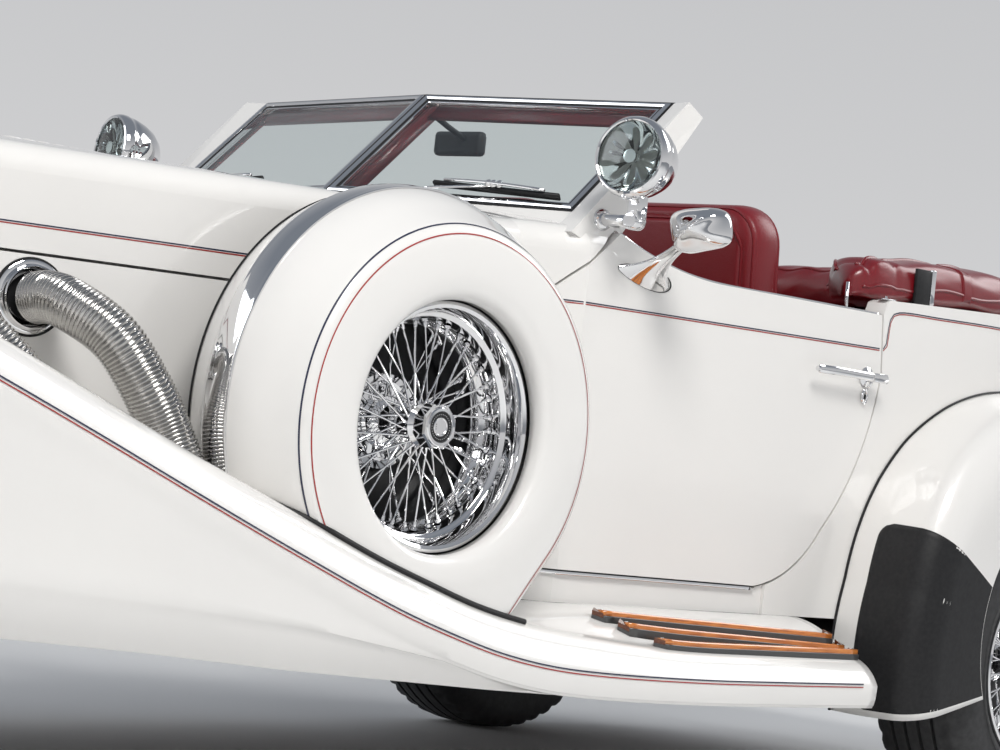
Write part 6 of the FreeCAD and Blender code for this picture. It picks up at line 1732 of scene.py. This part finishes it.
def makeDoorCard():
    body, rows = "door_left", []
    for x in [doorCard["front"] - doorCard["length"] * k / 30 for k in range(31)]:
        y = bodyPlan(x) - doorCard["gap"]
        low = 0.5 if x > -0.6 else 0.5 + 0.3 * ((-x - 0.6) / 0.3) ** 1.7
        top = doorCard["top"] if x < -0.16 else 0.97 + 0.058 * min(1, (-x - 0.02) / 0.14)
        rows.append([(x, y - d, z) for d, z in ((0.0, low), (0.009, low + 0.008),
            (0.012, low + 0.05), (0.012, (low + top) / 2), (0.012, top - 0.05),
            (0.009, top - 0.008), (0.0, top))])
    parts = [gridObject("doorCard", rows, "leatherRed", body, smooth=60)]
    for z in doorCard["piping"]:
        line = [(x, bodyPlan(x) - 0.0445, z) for x in [-0.05 - 0.78 * k / 20 for k in range(21)]]
        parts.append(tube("doorCardPiping", line, 0.003, "leatherRed", body, count=8))
    pull = [(x, bodyPlan(at) - inward, z) for x, at, inward, z in doorCard["pull"]]
    parts += [tube("doorPull", smoothLine(pull, 16), 0.008, "leatherRed", body, count=10),
        lathe("doorLatch", doorCard["latch"], (-0.62, bodyPlan(-0.62) - 0.044, 0.93), (0, -1, 0),
        "chrome", body, segments=24)]
    card = join("doorCardLeft", parts)
    mirrored(card)


makeDashboard()
makeSteeringWheel()
makeCabin()
makeDoorCard()
print("cockpit made")

# Bonnet: louvres and side catches
louvre = {"first": 0.445, "count": 12, "pitch": 0.0335, "low": 0.04, "high": 0.128, "rise": 0.0075,
          "top": 1.132, "fall": 0.028, "crest": 0.013, "halfWide": 0.33}
catch = {"places": {"bonnetCatchRear": 0.64, "bonnetCatchFront": 1.56},
    "loop": [(0, 0.868, 0.01), (-0.006, 0.885, 0.014), (-0.007, 0.93, 0.012),
    (-0.005, 0.941, 0.006), (0.005, 0.941, 0.006), (0.007, 0.93, 0.012), (0.006, 0.885, 0.014),
    (0, 0.868, 0.01)], "lever": [(0, 0.874, 0.012), (0, 0.858, 0.016), (0, 0.842, 0.012)],
    "leverProfile": [(-0.006, -0.0015), (0.006, -0.0015), (0.006, 0.0015), (-0.006, 0.0015)]}


def bonnetTop(y):
    # Height of the bonnet's skin: from the centre line to the start of the shoulder.
    beyond = max(abs(y) - louvre["crest"], 0) / louvre["halfWide"]
    return louvre["top"] - louvre["fall"] * beyond ** 2


def makeLouvres():
    parts = []
    for start in [louvre["first"] + k * louvre["pitch"] for k in range(louvre["count"])]:
        rows = []
        for u in [i / 12 for i in range(13)]:
            y = louvre["low"] + (louvre["high"] - louvre["low"]) * u
            ends = math.sin(math.pi * u) ** 0.45
            row = []
            for v in [j / 8 for j in range(9)]:
                lift = louvre["rise"] * ends * math.sin(math.pi * 0.5 * v) ** 0.8
                row.append((start + 0.004 + 0.024 * v, y, bonnetTop(y) + 0.0004 + lift))
            rows.append(row + [(start + 0.0285, y, bonnetTop(y) + 0.0003)])
        parts.append(gridObject("louvre", rows, "whitePaint", "bonnet_left"))
    mirrored(join("louvresLeft", parts))


def makeBonnetCatches():
    for name, x in catch["places"].items():
        loop, lever = ([onSide(x + along, z, out) for along, z, out in catch[key]]
            for key in ("loop", "lever"))
        mirrored(join(name + "Left", [boxPiece("catchBase", onSide(x - 0.011, 0.862, 0.0),
            onSide(x + 0.011, 0.912, 0.006), "chrome", bevel=0.001),
            tube("catchLoop", smoothLine(loop, 30), 0.0018, "chrome", count=8),
            sweep("catchLever", lever, catch["leverProfile"], "chrome"),
            boxPiece("catchHook", onSide(x - 0.007, 0.934, 0.0006),
            onSide(x + 0.007, 0.946, 0.0076), "blackRubber", bevel=0.001)]))


# Small fittings at the front and the rear
fittings = {
    "cap": [(0.0, 0.05), (0.01, 0.049), (0.014, 0.04), (0.011, 0.034), (0.03, 0.03), (0.034, 0.024),
        (0.034, 0.014), (0.028, 0.01), (0.03, 0.0)],
    "indicator": [(0.0, 0.055), (0.014, 0.052), (0.024, 0.04), (0.029, 0.02), (0.03, 0.0)],
    "indicatorShell": [(0.032, 0.004), (0.033, 0.0), (0.031, -0.03), (0.02, -0.055), (0.0, -0.062)],
    "indicatorPlace": (1.915, 0.56, 0.852),
    "tailRim": [(0.031, 0.002), (0.0345, 0.004), (0.037, 0.0), (0.037, -0.012), (0.033, -0.014)],
    "tailHeights": (0.56, 0.64),
    "guards": {"Front": (2.535, 2.588), "Rear": (-2.588, -2.535)}}


def makeSmallFittings():
    lathe("radiatorCap", fittings["cap"], (1.79, 0, 1.1435), (0, 0, 1), "chrome", segments=64)
    x, y, z = fittings["indicatorPlace"]
    for sign in (1, -1):
        place = (x, sign * y, z)
        lathe("indicatorFront", fittings["indicator"], place, (1, 0, 0), "lensAmber", segments=40)
        lathe("indicatorShell", fittings["indicatorShell"], place, (1, 0, 0), "chrome", segments=40)
        tube("indicatorStalk", [(1.893, sign * 0.56, 0.817), (1.89, sign * 0.56, 0.8),
            (1.89, sign * 0.562, 0.785)], 0.01, "chrome")
        for height in fittings["tailHeights"]:
            lathe("tailLampRim", fittings["tailRim"], (-2.392, sign * 0.43, height), (-1, 0, 0),
                "chrome", segments=48)
        for end, (low, high) in fittings["guards"].items():
            boxPiece("bumperGuard" + end, (low, sign * 0.2 - 0.016, 0.385),
                (high, sign * 0.2 + 0.016, 0.545), "chrome", bevel=0.012, segments=4)
    boxPiece("plateRear", (-2.4, -0.26, 0.545), (-2.392, 0.26, 0.655), "whiteFace")
    boxPiece("plateFront", (2.578, -0.26, 0.405), (2.5865, 0.26, 0.515), "whiteFace")


# Dark back of the spare wheels' tubs, with the carrier behind each wheel
tub = {"back": [(0.0, 0.0), (0.2, 0.0), (0.338, 0.0), (0.34, 0.01), (0.34, 0.16)], "backY": 0.611,
    "carrier": [(0.0, 0.034), (0.04, 0.034), (0.046, 0.03), (0.062, 0.028), (0.07, 0.032),
    (0.082, 0.032), (0.088, 0.026), (0.088, 0.004), (0.0, 0.004)], "carrierY": 0.622,
    "stud": [(0.0, 0.016), (0.004, 0.015), (0.0075, 0.01), (0.0085, 0.0)], "studY": 0.65,
    "studRadius": 0.056}


def makeTub():
    axle = (0, 1, 0)
    parts = [lathe("spareTub", tub["back"], coverPoint(0, 0, tub["backY"]), axle, "blackRubber",
        segments=96), lathe("spareCarrier", tub["carrier"], coverPoint(0, 0, tub["carrierY"]), axle,
        "chrome", segments=72, smooth=25)]
    for k in range(6):
        place = coverPoint(tub["studRadius"], math.radians(60 * k + 15), tub["studY"])
        parts.append(lathe("spareStud", tub["stud"], place, axle, "chrome", segments=6))
    mirrored(join("spareTubLeft", parts))


makeLouvres()
makeBonnetCatches()
makeSmallFittings()
makeTub()
print("bonnet, nose and tubs made")
